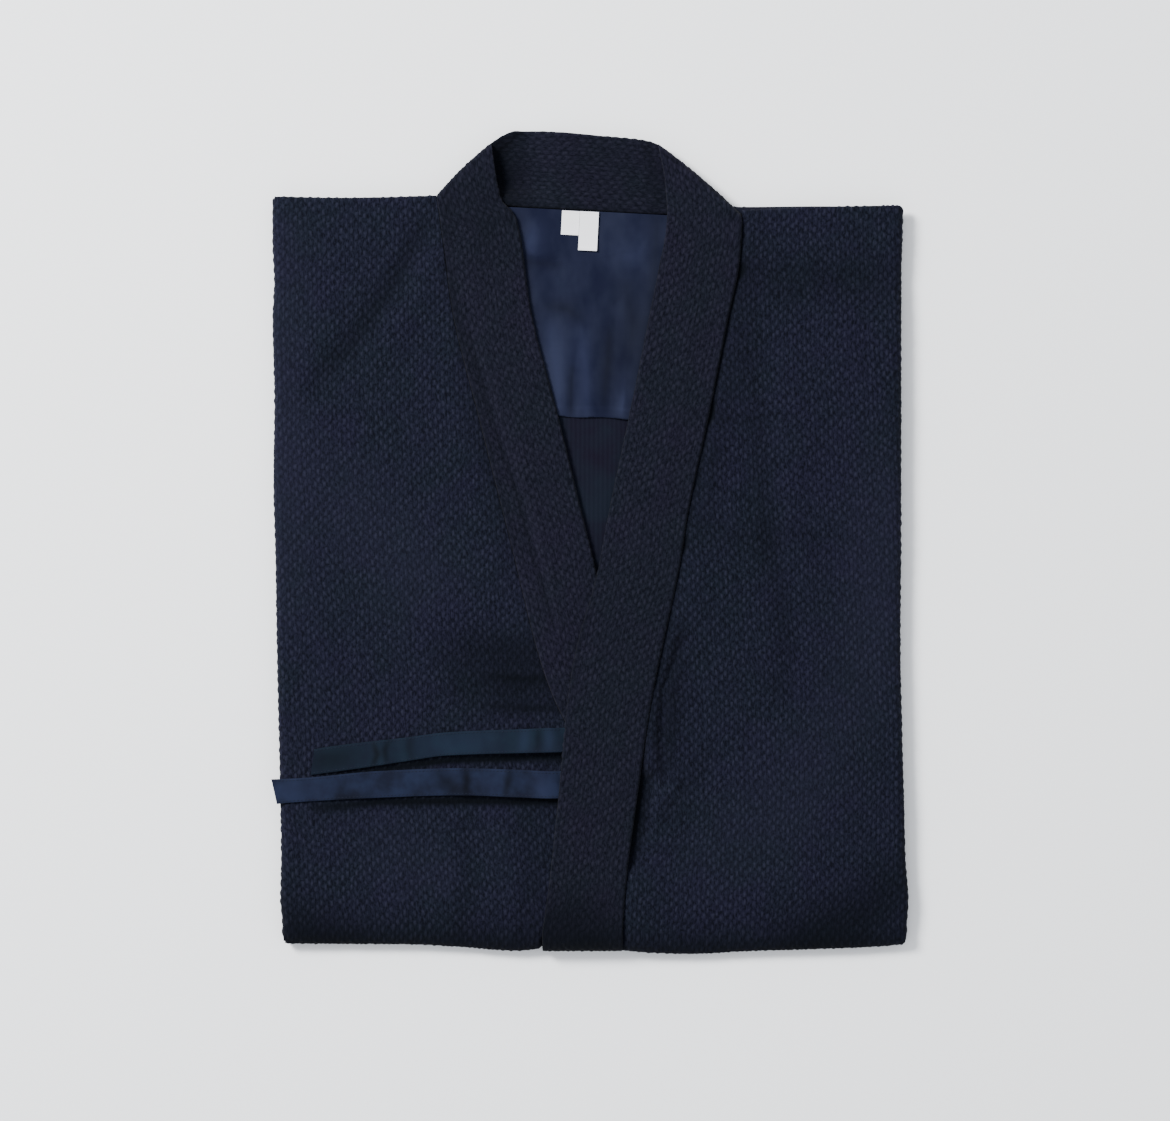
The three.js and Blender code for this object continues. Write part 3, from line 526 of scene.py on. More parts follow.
def slack(x, y):
    """Height of the long waves in cloth laid by hand."""
    height = np.zeros(np.shape(x))
    for tall, length_x, length_y, start in zip(*SLACK.values()):
        height += tall * np.sin(2 * np.pi * (x / length_x + y / length_y + start))
    return height


def scatter(column, grain, turn):
    """An even scatter of values, 0 to 1, one for each grain: the fraction of a large multiple of a sine."""
    return np.modf(np.abs(np.sin(column * 12.9898 + grain * 78.233 + turn * 37.719) * 43758.5453))[0]


def grains(u, v):
    """The weave at cloth coordinates: a column with the handmade wander and each grain's own liveliness."""
    u = u + 0.45 * np.sin(v / 17 + u / 41) + 0.3 * np.sin(v / 7.3 - u / 23)
    v = v + 0.8 * np.sin(u / 13 + v / 53) + 0.7 * np.sin(u / 5.9 + v / 31)
    column = np.round(u / GRAIN_PITCH)
    grain = np.round(v / GRAIN_LENGTH - (column % 2) / 2)
    lively, shift_u, shift_v = (scatter(column, grain, k) for k in (0, 1, 2))
    u = u + GRAIN_PITCH * GRAIN_STRAY[0] * (shift_u - 0.5)
    v = v + GRAIN_LENGTH * GRAIN_STRAY[1] * (shift_v - 0.5)
    return np.stack([u, v, lively], -1)


def flat_weave(u, v):
    """Cloth coordinates of a plain weave, which has no grains."""
    return np.stack([u, v, np.zeros_like(u)], -1)


def relief(weave, height):
    """How far the grains stand out, about the cloth's mean skin."""
    column = np.cos(np.pi * weave[..., 0] / GRAIN_PITCH)
    along = np.sign(column) * np.cos(2 * np.pi * weave[..., 1] / GRAIN_LENGTH)
    crown = np.abs(column) ** GRAIN_SHARPNESS * soft_step(along, *GRAIN_ENDS)
    return height * (crown - GRAIN_MEAN) * (GRAIN_LIVELY[0] + GRAIN_LIVELY[1] * weave[..., 2])


# ---- meshes ----
SHARP_FROM = math.radians(70)  # an edge that turns more than this is drawn sharp


def mesh_object(name, points, face_sets, weave):
    """A mesh object from points in millimetres, with faces turned outwards and shaded smooth."""
    # painted shade and painted highlight from the strokes, with some faded dye, kept on each point for the
    # material
    dye = marked(PAINTED_SHADE_AND_DYE, name.rsplit("_", 1)[0], points[:, 0], points[:, 1])
    points = (points + (*SHIFT, 0)) * MM
    volume = 0
    for faces in face_sets:
        corners = points[faces]
        for k in range(1, faces.shape[1] - 1):
            volume += np.einsum("ij,ij", corners[:, 0], np.cross(corners[:, k], corners[:, k + 1]))
    if volume < 0:
        face_sets = [faces[:, ::-1] for faces in face_sets]
    sizes = np.concatenate([np.full(len(faces), faces.shape[1]) for faces in face_sets])
    corners = np.concatenate([faces.ravel() for faces in face_sets]).astype(np.int32)
    mesh = bpy.data.meshes.new(name)
    mesh.vertices.add(len(points))
    mesh.vertices.foreach_set("co", points.astype(np.float32).ravel())
    mesh.loops.add(len(corners))
    mesh.loops.foreach_set("vertex_index", corners)
    mesh.polygons.add(len(sizes))
    mesh.polygons.foreach_set("loop_start", (np.cumsum(sizes) - sizes).astype(np.int32))
    mesh.polygons.foreach_set("use_smooth", np.ones(len(sizes), dtype=bool))
    mesh.update(calc_edges=True)
    weave_layer = mesh.attributes.new("weave", "FLOAT_VECTOR", "POINT")
    weave_layer.data.foreach_set("vector", weave.astype(np.float32).ravel())
    shade_and_dye_layer = mesh.attributes.new("dye", "FLOAT", "POINT")
    shade_and_dye_layer.data.foreach_set("value", dye.astype(np.float32))
    mesh.set_sharp_from_angle(angle=SHARP_FROM)
    return bpy.data.objects.new(name, mesh)


def inner_faces(boundary, inside):
    """Triangles over a flat region, from its boundary and points inside it; all turned the same way."""
    points = np.concatenate([boundary, inside])
    count = len(boundary)
    edges = [(i, (i + 1) % count) for i in range(count)]
    made = delaunay_2d_cdt([Vector(p) for p in points], edges, [], 1, 1e-5)
    origin = [first[0] for first in made[3]]
    faces = np.array([[origin[i] for i in face] for face in made[2]])
    a, b, c = (points[faces[:, k]] for k in range(3))
    turn = (b[:, 0] - a[:, 0]) * (c[:, 1] - a[:, 1]) - (b[:, 1] - a[:, 1]) * (c[:, 0] - a[:, 0])
    faces[turn > 0] = faces[turn > 0][:, ::-1]
    return faces


def strips(starts, counts):
    """Quads between neighbouring rows of points, and fans where one row is longer."""
    quads, fans = [], []
    for s, t, here, below in zip(starts, starts[1:], counts, counts[1:]):
        shared = min(here, below) - 1
        i = np.arange(shared)
        quads.append(np.stack([s + i, s + i + 1, t + i + 1, t + i], -1))
        rest = np.arange(shared, max(here, below) - 1)
        if here < below:
            fans.append(np.stack([np.full(len(rest), s + shared), t + rest + 1, t + rest], -1))
        else:
            fans.append(np.stack([s + rest, s + rest + 1, np.full(len(rest), t + shared)], -1))
    return np.concatenate(quads), np.concatenate(fans)


class Shell:
    """A thin wall of cloth over rows of cloth coordinates, fine outside and plainer inside.

    place(a, b, depth) gives points and their weave; each row b runs along the columns to its own end.
    """

    def __init__(self, place, rows, columns, ends, wall, height=0.0, plainer=4):
        self.rows, self.widths = rows, ends - columns[0]
        step = columns[-1] - columns[-2]
        spans = [np.append(columns[columns < end - step / 2], end) for end in ends]
        counts = np.array([len(span) for span in spans])
        a, b = np.concatenate(spans), np.repeat(rows, counts)
        starts = np.concatenate([[0], np.cumsum(counts)])
        weave = place(a, b, 0)[1]
        calm = soft_step(np.repeat(ends, counts) - a, 0.5, SEAM_CALM)
        outer = place(a, b, -relief(weave, height) * calm)[0]
        quads, fans = strips(starts, counts)
        last_row = np.arange(starts[-2], starts[-1] - 1)
        loop = np.concatenate([np.arange(counts[0]), starts[2:] - 1, last_row[::-1], starts[1:-2][::-1]])
        coarse_a, coarse_b = np.meshgrid(columns[plainer:-1:plainer], rows[plainer:-plainer:plainer])
        within = coarse_a < curve(rows, ends, coarse_b) - plainer * step * 0.6
        inside = np.stack([coarse_a[within], coarse_b[within]], -1)
        edge = np.stack([a[loop], b[loop]], -1)
        inner, inner_weave = place(*np.concatenate([edge, inside]).T, wall)
        around = len(outer) + np.arange(len(loop))
        rim = np.stack([np.roll(loop, -1), loop, around, np.roll(around, -1)], -1)
        self.points = np.concatenate([outer, inner])
        self.weave = np.concatenate([weave, inner_weave])
        self.faces = [quads, rim, *([fans] if len(fans) else []), len(outer) + inner_faces(edge, inside)]

    def object(self, name):
        return mesh_object(name, self.points, self.faces, self.weave)

    def cut(self):
        """Flat width, length and area of the cloth, in metres and square metres."""
        length = self.rows[-1] - self.rows[0]
        area = np.sum((self.widths[1:] + self.widths[:-1]) / 2 * np.diff(self.rows))
        return (self.widths.max() * MM, length * MM), area * MM * MM


def tube(name, points, weave):
    """A closed body through rings of equal length, points[ring, place], with fanned ends."""
    rings, count = points.shape[:2]
    around = np.arange(count)
    after = np.roll(around, -1)
    starts = np.arange(rings - 1)[:, None] * count
    corners = [starts + around, starts + after, starts + count + after, starts + count + around]
    quads = np.stack(corners, -1).reshape(-1, 4)
    hub, last = np.full(count, rings * count), (rings - 1) * count
    fans = [np.stack([hub, after, around], -1), np.stack([hub + 1, last + around, last + after], -1)]
    points, weave = (
        np.concatenate([grid.reshape(-1, 3), [grid[0].mean(0), grid[-1].mean(0)]]) for grid in (points, weave)
    )
    return mesh_object(name, points, [quads, *fans], weave)


def dress(piece, material, node):
    """Finish a piece: its material, its place in the scene, the body it rides on, and hiding the imported
    part it stands for.
    """
    piece.data.materials.append(material)
    bpy.context.scene.collection.objects.link(piece)
    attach(piece, "root")
    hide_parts(node)
    return piece


# ---- fronts ----
def seam_of(panel, y):
    """X of a front's seam on its collar band."""
    return at(panel.band, "seam_y", y, "seam_x") + panel.outward * GAP


def inner_edge(panel, y):
    """X at which a front ends towards the middle."""
    seam = seam_of(panel, y)
    if panel.outward > 0:
        return seam - HEM_DRAWN * soft_step(-y, 345, 358)
    return seam + (TUCK_X - seam) * soft_step(TUCK_TOP - y, 0, TUCK_TOP - TUCK_FULL)


def front_skin(name, x, y):
    """Height of a front's outer skin over a point of the plan, without its folds at the outline."""
    panel = FRONTS[name]
    away = x - seam_of(panel, y)
    band_top = at(panel.band, "seam_y", y, "seam_top")
    lift = (band_top - SEAM_STEP - PANEL_TOP) * np.exp(-((away / panel.seam_reach) ** 2))
    lift -= panel.seam_dip * np.exp(-((away / panel.seam_half) ** 2))
    sewn = 1 if panel.outward > 0 else soft_step(y, TUCK_TOP, TUCK_TOP + 12)
    skin = PANEL_TOP + lift * sewn + slack(x, y) + marked(CREASES, name, x, y)
    skin -= HEM_EASE * soft_step(-y, 320, 368)
    if panel.outward < 0:
        tuck = soft_step(x, *TUCK_EDGE) * (y < TUCK_TOP)
        skin += (PANEL_TOP - TUCK_PRESSED - skin) * tuck
    return np.maximum(skin, PANEL_LOWEST - 1.2 * soft_step(-y, 340, 360))


def front(name):
    """One front panel: rolled behind at its side and bottom, folded over at the shoulder."""
    panel = FRONTS[name]
    outward = panel.outward
    sway_step = 5.0
    fine_y = np.arange(-400.0, 330.0, sway_step)
    sway = np.cumsum(np.tan(np.radians(at(panel.turns, "y", fine_y, "turn")))) * sway_step

    def start_x(y):
        return at(SIDES, "y", y, panel.side) - outward * SIDE_FOLD.radius

    def plan(a, b):
        share = np.clip(b / PANEL_LENGTH, 0, 1)
        y = PANEL_TOP_Y - share * PANEL_LENGTH
        for _ in range(3):
            x = start_x(y) - outward * np.maximum(a, 0)
            high = at(SHOULDER_LINE, "x", x, "y") - SHOULDER_FOLD.radius
            hidden = 0 if outward > 0 else HIDDEN_HEM_RISE * soft_step(x, -47, -39)
            low = at(BOTTOM_FOLD, "x", x, "y") + hidden + HEM_FOLD.radius
            y = high + (low - high) * share
        return x, y

    def place(a, b, depth):
        x, y = plan(a, b)
        skin = front_skin(name, x, y)
        u = x + outward * np.maximum(-a, 0) - np.interp(y, fine_y, sway)
        v = -y + np.minimum(b, 0) + np.maximum(b - PANEL_LENGTH, 0)
        side_angle, shoulder_angle = fold_angle(SIDE_FOLD, -a), fold_angle(SHOULDER_FOLD, -b)
        hem_angle = fold_angle(HEM_FOLD, b - PANEL_LENGTH)
        side_inset, side_drop = fold(SIDE_FOLD, side_angle, depth)
        shoulder_inset, shoulder_drop = fold(SHOULDER_FOLD, shoulder_angle, depth)
        hem_inset, hem_drop = fold(hem_fold(skin), hem_angle, depth)
        rounded = CORNER_PULL * soft_step(side_angle, *CORNER_TURN)
        at_shoulder = rounded * soft_step(shoulder_angle, *CORNER_TURN)
        at_hem = rounded * soft_step(hem_angle, *CORNER_TURN)
        side_drop = side_drop - depth
        end_drop = shoulder_drop + hem_drop - 2 * depth
        drop = np.maximum(side_drop, end_drop) + CORNER_SHARE * np.minimum(side_drop, end_drop)
        x = x + outward * (SIDE_FOLD.radius - side_inset - at_shoulder - at_hem)
        y = y + (SHOULDER_FOLD.radius - shoulder_inset) - (HEM_FOLD.radius - hem_inset)
        y = y - at_shoulder + at_hem
        z = np.maximum(skin - depth - drop, FLOOR_AIR + depth / 2)
        return np.stack([x, y, z], -1), grains(u, v)

    rows = np.arange(-fold_length(SHOULDER_FOLD), PANEL_LENGTH + fold_length(HEM_FOLD), ROW_STEP)
    columns = np.arange(-fold_length(SIDE_FOLD), 300, COLUMN_STEP)
    ends = np.full(len(rows), 200.0)  # a first guess, brought nearer four times
    for _ in range(4):
        y = plan(ends, rows)[1]
        ends = outward * (start_x(y) - inner_edge(panel, y))
    return Shell(place, rows, columns, ends, SASHIKO, PANEL_RELIEF)


# ---- back and lining ----
def steps(stops, fine, coarse, first, last):
    """Places from first to last, close together between the two stops."""
    low, high = stops
    stretches = ((first, low, coarse), (low, high, fine), (high, last, coarse))
    places = [np.linspace(start, end, max(2, int((end - start) / step))) for start, end, step in stretches]
    return np.unique(np.concatenate(places))


def back():
    """The back, inside up, on the hidden layers."""
    x_from, x_to, y_from = BACK_SEEN

    def place(a, b, depth):
        share = np.clip(b / BACK_LENGTH, 0, 1)
        rough_y = PANEL_TOP_Y - share * BACK_LENGTH
        left = at(SIDES, "y", rough_y, "left") + BACK_INSET
        right = at(SIDES, "y", rough_y, "right") - BACK_INSET
        x = np.clip(a, left, right)
        angle = fold_angle(BACK_FOLD, -b)
        inset, turned = fold(BACK_FOLD, angle, depth)
        high = at(BACK_LINE, "x", x, "y") - BACK_FOLD.radius
        low = at(BOTTOM_FOLD, "x", x, "y") + BACK_END
        y = high + (low - high) * share + BACK_FOLD.radius - inset
        folded = soft_step(np.abs(x + 2), NECKLINE_HALF, NECKLINE_HALF + 14)
        drop = np.where(angle > 0, depth + (turned - depth) * folded, depth)
        dent = 0.25 * np.sin(x / 19 + y / 47) * (1 - np.clip(angle, 0, 1))
        return np.stack([x, y, BACK_TOP - drop + dent - 0.25], -1), flat_weave(x, -y)

    fold_rows = -np.linspace(fold_length(BACK_FOLD), 1.3, 6)
    rows = np.concatenate([fold_rows, steps((1, PANEL_TOP_Y - y_from), 1.6, 8, 0, BACK_LENGTH)])
    columns = steps((x_from, x_to), 1.1, 5, -BACK_HALF, BACK_HALF)
    return Shell(place, rows, columns, np.full(len(rows), columns[-1]), SASHIKO, plainer=2)


def lining_skin(x, y):
    return LINING_TOP + marked(CREASES, "shoulder_lining", x, y) + 0.18 * np.sin(x / 11 + y / 29) + 0.2


def shoulder_lining():
    """The plain cotton lining across the shoulders, hemmed at its lower edge."""
    across, down = 180.0, 188.8

    def place(a, b, depth):
        y = LINING_ROWS["y"][0] - b
        left, right = (at(LINING_ROWS, "y", y, side) for side in ("left", "right"))
        x = left + (right - left) * a / across
        y = y + LINING_TILT * x + 0.7 * np.sin(x / 9.0) * soft_step(b, down - 30, down)
        doubled = soft_step(b, down - 9.5, down - 8.5)  # the hem is turned up over its last 9 mm
        edge = 0.5 * soft_step(b, down - 1.6, down)
        step = 0.3 * soft_step(x, -11.5, -10.5) * doubled
        z = lining_skin(x, y) + 0.35 * doubled + step - edge - depth
        return np.stack([x, y, z], -1), flat_weave(x, -y)

    rows = np.linspace(0, down, 150)
    columns = np.linspace(0, across, 130)
    return Shell(place, rows, columns, np.full(len(rows), across), LINING, plainer=3)


# ---- collar band ----
def section(wall, edge, top_points, turn_points, under_points, crown=0.0):
    """Closed section of a flat band: share of its width, inset, depth and the way out, point by point.

    edge is how far in from each side it is round, crown how far its middle stands up.
    """
    half = wall / 2
    turn = np.linspace(0, np.pi, turn_points)[1:-1]
    across = np.linspace(0, 1, top_points)
    top = [(t, edge * (1 - 2 * t), -crown * math.sin(math.pi * t), 0, -1) for t in across]
    free = [(1, edge * (np.sin(t) - 1), half * (1 - np.cos(t)), np.sin(t), -np.cos(t)) for t in turn]
    under = [(1 - t, -edge * (1 - 2 * t), wall, 0, 0) for t in np.linspace(0, 1, under_points)]
    sewn = [(1 - share, -inset, depth, -out, down) for share, inset, depth, out, down in free[::-1]]
    return table("share inset depth out_across out_down", *top, *free, *under, *sewn)


class BandStretch:
    """One stretch of the collar band, from its seam (share 0) to its free edge (share 1)."""

    def __init__(self, name, rows, turned_start=False, turned_end=False):
        self.name = name
        self.turned = turned_start, turned_end
        seam, edge = (
            np.stack([rows[side + axis] for axis in ("_x", "_y", "_top")], -1) for side in ("seam", "edge")
        )
        across = (edge - seam)[0]
        square = np.array([across[1], -across[0]]) / np.hypot(across[0], across[1])
        self.square = -square if square[1] > 0 else square
        self.inward = [self.past_fold(line) for line in (seam, edge)]
        if turned_start:
            seam[0, :2] += self.inward[0] * NECK_FOLD.radius
            edge[0, :2] += self.inward[1] * NECK_FOLD.radius
        if turned_end:
            last = BAND_HEM_LINE + HEM_FOLD.radius
            seam[-1, :2] = at(rows, "seam_y", last, "seam_x"), last
            edge[-1, :2] = at(rows, "edge_y", last, "edge_x"), last
        self.seam, self.edge = seam, edge
        gaps = np.linalg.norm(np.diff((seam + edge)[:, :2] / 2, axis=0), axis=1)
        self.stops = np.concatenate([[0], np.cumsum(gaps)])
        self.length = self.stops[-1]
        self.width = np.linalg.norm((edge - seam)[:, :2], axis=1).mean()

    def past_fold(self, line):
        """The way a side of the band runs from the fold, for a millimetre square to the fold."""
        way = line[1, :2] - line[0, :2]
        return way / (way @ self.square)

    def line(self, ends, s):
        """Points of the seam or the free edge, s millimetres along the band."""
        return np.stack([curve(self.stops, ends[:, k], np.clip(s, 0, self.length)) for k in range(3)], -1)

    def middle(self, s):
        return ((self.line(self.seam, s) + self.line(self.edge, s)) / 2)[..., :2]

    def place(self, share, inset, s, depth):
        """Points of the band and their weave."""
        seam, edge = self.line(self.seam, s), self.line(self.edge, s)
        if self.turned[0]:
            inset = inset * (0.25 + 0.75 * soft_step(s, 4, 30))  # a fold's round edges are pressed
        if self.turned[1]:
            inset = inset * (1 - 0.75 * soft_step(s, self.length - 30, self.length))
        across = edge - seam
        share_of_width = share + inset / np.linalg.norm(across, axis=-1)
        part = np.clip(share_of_width, 0, 1)
        point = seam + across * share_of_width[..., None]
        flat_s = np.clip(s, 0, self.length)
        forward = self.middle(flat_s + 14) - self.middle(flat_s - 14)
        forward /= np.linalg.norm(forward, axis=-1, keepdims=True)
        off = point[..., :2] - self.middle(s)
        u = off[..., 0] * forward[..., 1] - off[..., 1] * forward[..., 0]
        v = s + off[..., 0] * forward[..., 0] + off[..., 1] * forward[..., 1]
        swell = 0.35 * np.sin(np.pi * part) + 0.2 * np.sin(s / 31 + share * 2)
        swell += marked(CREASES, self.name, point[..., 0], point[..., 1])
        start_inset, start_drop = fold(NECK_FOLD, fold_angle(NECK_FOLD, -s), depth)
        end_angle = fold_angle(HEM_FOLD, s - self.length)
        end_inset, end_drop = fold(hem_fold(self.edge[-1, 2]), end_angle, depth)
        inward = self.inward[0] * (1 - part[..., None]) + self.inward[1] * part[..., None]
        point[..., :2] += inward * (start_inset - NECK_FOLD.radius)[..., None]
        if self.turned[0]:
            bow = FOLD_BOW * 4 * part * (1 - part) * (1 - soft_step(s, 0, 30))
            point[..., :2] -= self.square * bow[..., None]
        point[..., 1] += end_inset - HEM_FOLD.radius
        point[..., 2] += swell * (1 - np.clip(depth / BAND, 0, 1)) - (start_drop + end_drop - depth)
        if self.name == "collar_neck":
            point[..., 2] -= neck_dip(point[..., 0], point[..., 1])
        point[..., 2] = np.maximum(point[..., 2], FLOOR_AIR + depth / 4)
        return point, grains(u, v)

    def ring_stops(self):
        start = -fold_length(NECK_FOLD) if self.turned[0] else 0
        end = self.length + (fold_length(HEM_FOLD) if self.turned[1] else 0)
        return np.linspace(start, end, int((end - start) / ROW_STEP))

    def object(self, name):
        """The stretch as a closed body, its grains raised on all but its underside."""
        around = section(BAND, BAND_EDGE, int(self.width / COLUMN_STEP), 9, 10)
        s, share = np.meshgrid(self.ring_stops(), around["share"], indexing="ij")
        inset, depth, out_across, out_down = (
            np.broadcast_to(around[c], s.shape) for c in ("inset", "depth", "out_across", "out_down")
        )
        weave = self.place(share, inset, s, depth)[1]
        raised = relief(weave, BAND_RELIEF) * soft_step(share * self.width, 0.5, SEAM_CALM)
        points = self.place(share, inset + raised * out_across, s, depth + raised * out_down)[0]
        return tube(name, points, weave)

    def cut(self):
        """Flat width, length and area of the stretch."""
        stops = self.ring_stops()
        length = stops[-1] - stops[0]
        return (self.width * MM, length * MM), self.width * length * MM * MM


def neck_dip(x, y):
    """How far the band behind the neck sinks beside the turned collar, beyond the body."""
    seam_x, seam_y, edge_x, edge_y = (UNDER_BAND[c][0] for c in ("seam_x", "seam_y", "edge_x", "edge_y"))
    along_x, along_y = edge_x - seam_x, edge_y - seam_y
    from_fold = ((x - seam_x) * along_y - (y - seam_y) * along_x) / math.hypot(along_x, along_y)
    left = (3 + 5.5 * soft_step(from_fold, 2, 17)) * soft_step(y, 310, 330) * (1 - soft_step(x, -62, -16))
    right = 2.4 * soft_step(y, 345, 362) * soft_step(x, 44, 60)
    return left + right


# ---- ties and labels ----
def tie_skin(tie, x, share):
    """Height of a tie's upper skin at an x and a share of its width."""
    skin = at(tie.rows, "x", x, "skin") + 0.5
    for centre, half, tall in zip(*tie.wrinkles.values()):
        lean = centre + (share - 0.5) * half * 1.4
        skin = skin + tall * np.exp(-(((x - lean) / half) ** 2))
    skin = skin + tie.rise * share**1.5 * soft_step(x, -150, -30)
    return skin + 0.15 * np.sin(x / 14 + share * 3)


def tie_place(tie, share, inset, x, depth):
    """Points of a tie."""
    end = tie.rows["x"].min()
    top, low = (at(tie.rows, "x", x, c) for c in ("top_y", "low_y"))
    at_end = 1 - soft_step(x, end, end + 14)
    point_x = x + (tie.slant * (share - 0.5) + abs(tie.slant) / 2) * at_end
    y = top + (low - top) * share - inset
    return np.stack([point_x, y, tie_skin(tie, x, share) - depth], -1)


def tie_object(name, tie):
    """A tie as a closed body."""
    around = section(TIE, TIE_EDGE, 19, 6, 6, TIE_CROWN)
    start, end = tie.rows["x"].max(), tie.rows["x"].min()
    stops = np.linspace(start, end, int((start - end) / TIE_STEP))
    x, share = np.meshgrid(stops, around["share"], indexing="ij")
    inset, depth = (np.broadcast_to(around[c], x.shape) for c in ("inset", "depth"))
    points = tie_place(tie, share, inset, x, depth)
    return tube(name + "_cloth", points, flat_weave(points[..., 1], points[..., 0]))


def label_shell(label):
    """A woven label, across and down from its sewn corner, its lower end curling a little."""
    turn = math.radians(label.turn_deg)

    def place(across, down, depth):
        x = label.left + across * math.cos(turn) + down * math.sin(turn)
        y = label.top + across * math.sin(turn) - down * math.cos(turn)
        curl = 0.5 * (down / label.length) ** 2 * (across / label.width) + 0.12 * np.sin(down / 4.1)
        rib = 0.04 * np.cos(2 * np.pi * down / 0.9)
        hem = 0.25 * (soft_step(down, label.length - 3.2, label.length - 2.6) + 1 - soft_step(down, 1.6, 2.2))
        z = lining_skin(x, y) + label.lift + LABEL + curl + hem + rib - depth
        return np.stack([x, y, z], -1), flat_weave(across, down)

    rows = np.linspace(0, label.length, int(label.length / 0.45))
    columns = np.linspace(0, label.width, 16)
    return Shell(place, rows, columns, np.full(len(rows), label.width), LABEL, plainer=3)


# ---- hidden layers ----
RING_POINTS = (300, 260)  # on a side, and on the shoulder or bottom line


def layer_ring(side, shoulder, bottom):
    """One closed line round the hidden layers at a height, and the way out of it."""
    side_share, end_share = (np.linspace(0, 1, count, endpoint=False) for count in RING_POINTS)

    def left(y):
        return at(SIDES, "y", y, "left") + side

    def right(y):
        return at(SIDES, "y", y, "right") - side

    def top_y(x):
        return at(BACK_CORE_LINE, "x", x, "y") - shoulder

    def low_y(x):
        under_band = soft_step(x, -85, -57) - soft_step(x, 34, 62)
        return at(BOTTOM_FOLD, "x", x, "y") + bottom + HIDDEN_HEM_RISE * under_band

    tl, tr, bl, br = left(310), right(306), left(-360), right(-360)
    left_y = top_y(tl) + (low_y(bl) - top_y(tl)) * side_share
    low_x = bl + (br - bl) * end_share
    right_y = low_y(br) + (top_y(tr) - low_y(br)) * side_share
    top_x = tr + (tl - tr) * end_share
    line_x = np.concatenate([left(left_y), low_x, right(right_y), top_x])
    line_y = np.concatenate([left_y, low_y(low_x), right_y, top_y(top_x)])
    line = np.stack([line_x, line_y], -1)
    smooth = sum(np.roll(line, k, 0) for k in (-2, -1, 0, 1, 2)) / 5
    forward = np.roll(smooth, -2, 0) - np.roll(smooth, 2, 0)
    forward /= np.linalg.norm(forward, axis=1, keepdims=True)
    return smooth, np.stack([forward[:, 1], -forward[:, 0]], -1)


def folded_layers():
    """The hidden sleeves and skirt: one rounded body, layered at its edges, flat underneath."""
    # Rings stand close together up to 8.8 mm, where the two layers bulge at the edge.
    heights = np.unique(np.concatenate([np.linspace(0, 8.8, 30), np.linspace(8.8, CORE_TOP, 5)]))
    insets = [np.interp(heights, LAYERED_EDGE["z"], LAYERED_EDGE[c]) for c in ("side", "shoulder", "bottom")]
    rings, weaves = [], []
    arc = 0.0
    for k, z in enumerate(heights):
        line, out = layer_ring(*(inset[k] for inset in insets))
        if k:
            arc += math.hypot(z - heights[k - 1], insets[0][k] - insets[0][k - 1])
        along = np.arange(len(line)) * 2.3  # a ring's points are about 2.3 mm apart
        layer = 0 if z < 3.8 else 1
        wander = 0.9 * np.sin(along / (57 + 31 * layer) + layer * 2) + 0.5 * np.sin(along / 23 + layer)
        low, high = np.clip([(z - 0.3) / 3.4, (z - 4.0) / 3.7], 0, 1)
        bulge = np.sin(np.pi * low) + np.sin(np.pi * high)
        weave = grains(line[:, 0] + out[:, 0] * arc, -line[:, 1] - out[:, 1] * arc)
        raised = relief(weave, LAYER_RELIEF) * min(1.0, bulge * 1.5)
        line = line + out * (raised + wander * bulge - 0.6 * bulge)[:, None]
        rings.append(np.concatenate([line, np.full((len(line), 1), z)], 1))
        weaves.append(weave)
    return tube("folded_layers_cloth", np.stack(rings), np.stack(weaves))


# ---- nodes ----
def add(tree, kind, inputs=None, **settings):
    """Add a node with its settings and inputs, each a value or a socket to link from; gives its outputs."""
    node = tree.nodes.new(kind)
    for name, value in settings.items():
        setattr(node, name, value)
    for name, value in (inputs or {}).items():
        if isinstance(value, bpy.types.NodeSocket):
            tree.links.new(value, node.inputs[name])
        else:
            node.inputs[name].default_value = value
    return node.outputs


# ---- sewing ----
STITCH_INPUTS = {
    "Lines": "Geometry", "Pitch": "Float", "Length": "Float", "Thickness": "Float", "Thread": "Material",
}
STITCH_LINES = (0.08, 0.92)  # shares of a tie's width
STITCH_PROUD = 0.1  # how far a stitch's middle stands above the tie


def stitch_tree():
    """Geometry Nodes: thread stitches at an even pitch along the lines of a mesh."""
    tree = bpy.data.node_groups.new("Running stitch", "GeometryNodeTree")
    for label, kind in STITCH_INPUTS.items():
        tree.interface.new_socket(label, in_out="INPUT", socket_type="NodeSocket" + kind)
    tree.interface.new_socket("Stitches", in_out="OUTPUT", socket_type="NodeSocketGeometry")
    given = add(tree, "NodeGroupInput")
    line = add(tree, "GeometryNodeMeshToCurve", {"Mesh": given["Lines"]})[0]
    evenly = {"Curve": line, "Length": given["Pitch"]}
    spaced = add(tree, "GeometryNodeResampleCurve", evenly, mode="LENGTH")[0]
    tangent = add(tree, "GeometryNodeInputTangent")[0]
    aim = add(tree, "FunctionNodeAlignRotationToVector", {"Vector": tangent}, axis="X")[0]
    bead = add(tree, "GeometryNodeMeshUVSphere", {"Segments": 8, "Rings": 4, "Radius": 0.5})[0]
    thick = given["Thickness"]
    size = add(tree, "ShaderNodeCombineXYZ", {"X": given["Length"], "Y": thick, "Z": thick})[0]
    beads = {"Points": spaced, "Instance": bead, "Rotation": aim, "Scale": size}
    placed = add(tree, "GeometryNodeInstanceOnPoints", beads)[0]
    solid = add(tree, "GeometryNodeRealizeInstances", {"Geometry": placed})[0]
    thread = add(tree, "GeometryNodeSetMaterial", {"Geometry": solid, "Material": given["Thread"]})[0]
    add(tree, "NodeGroupOutput", {"Stitches": thread})
    return tree


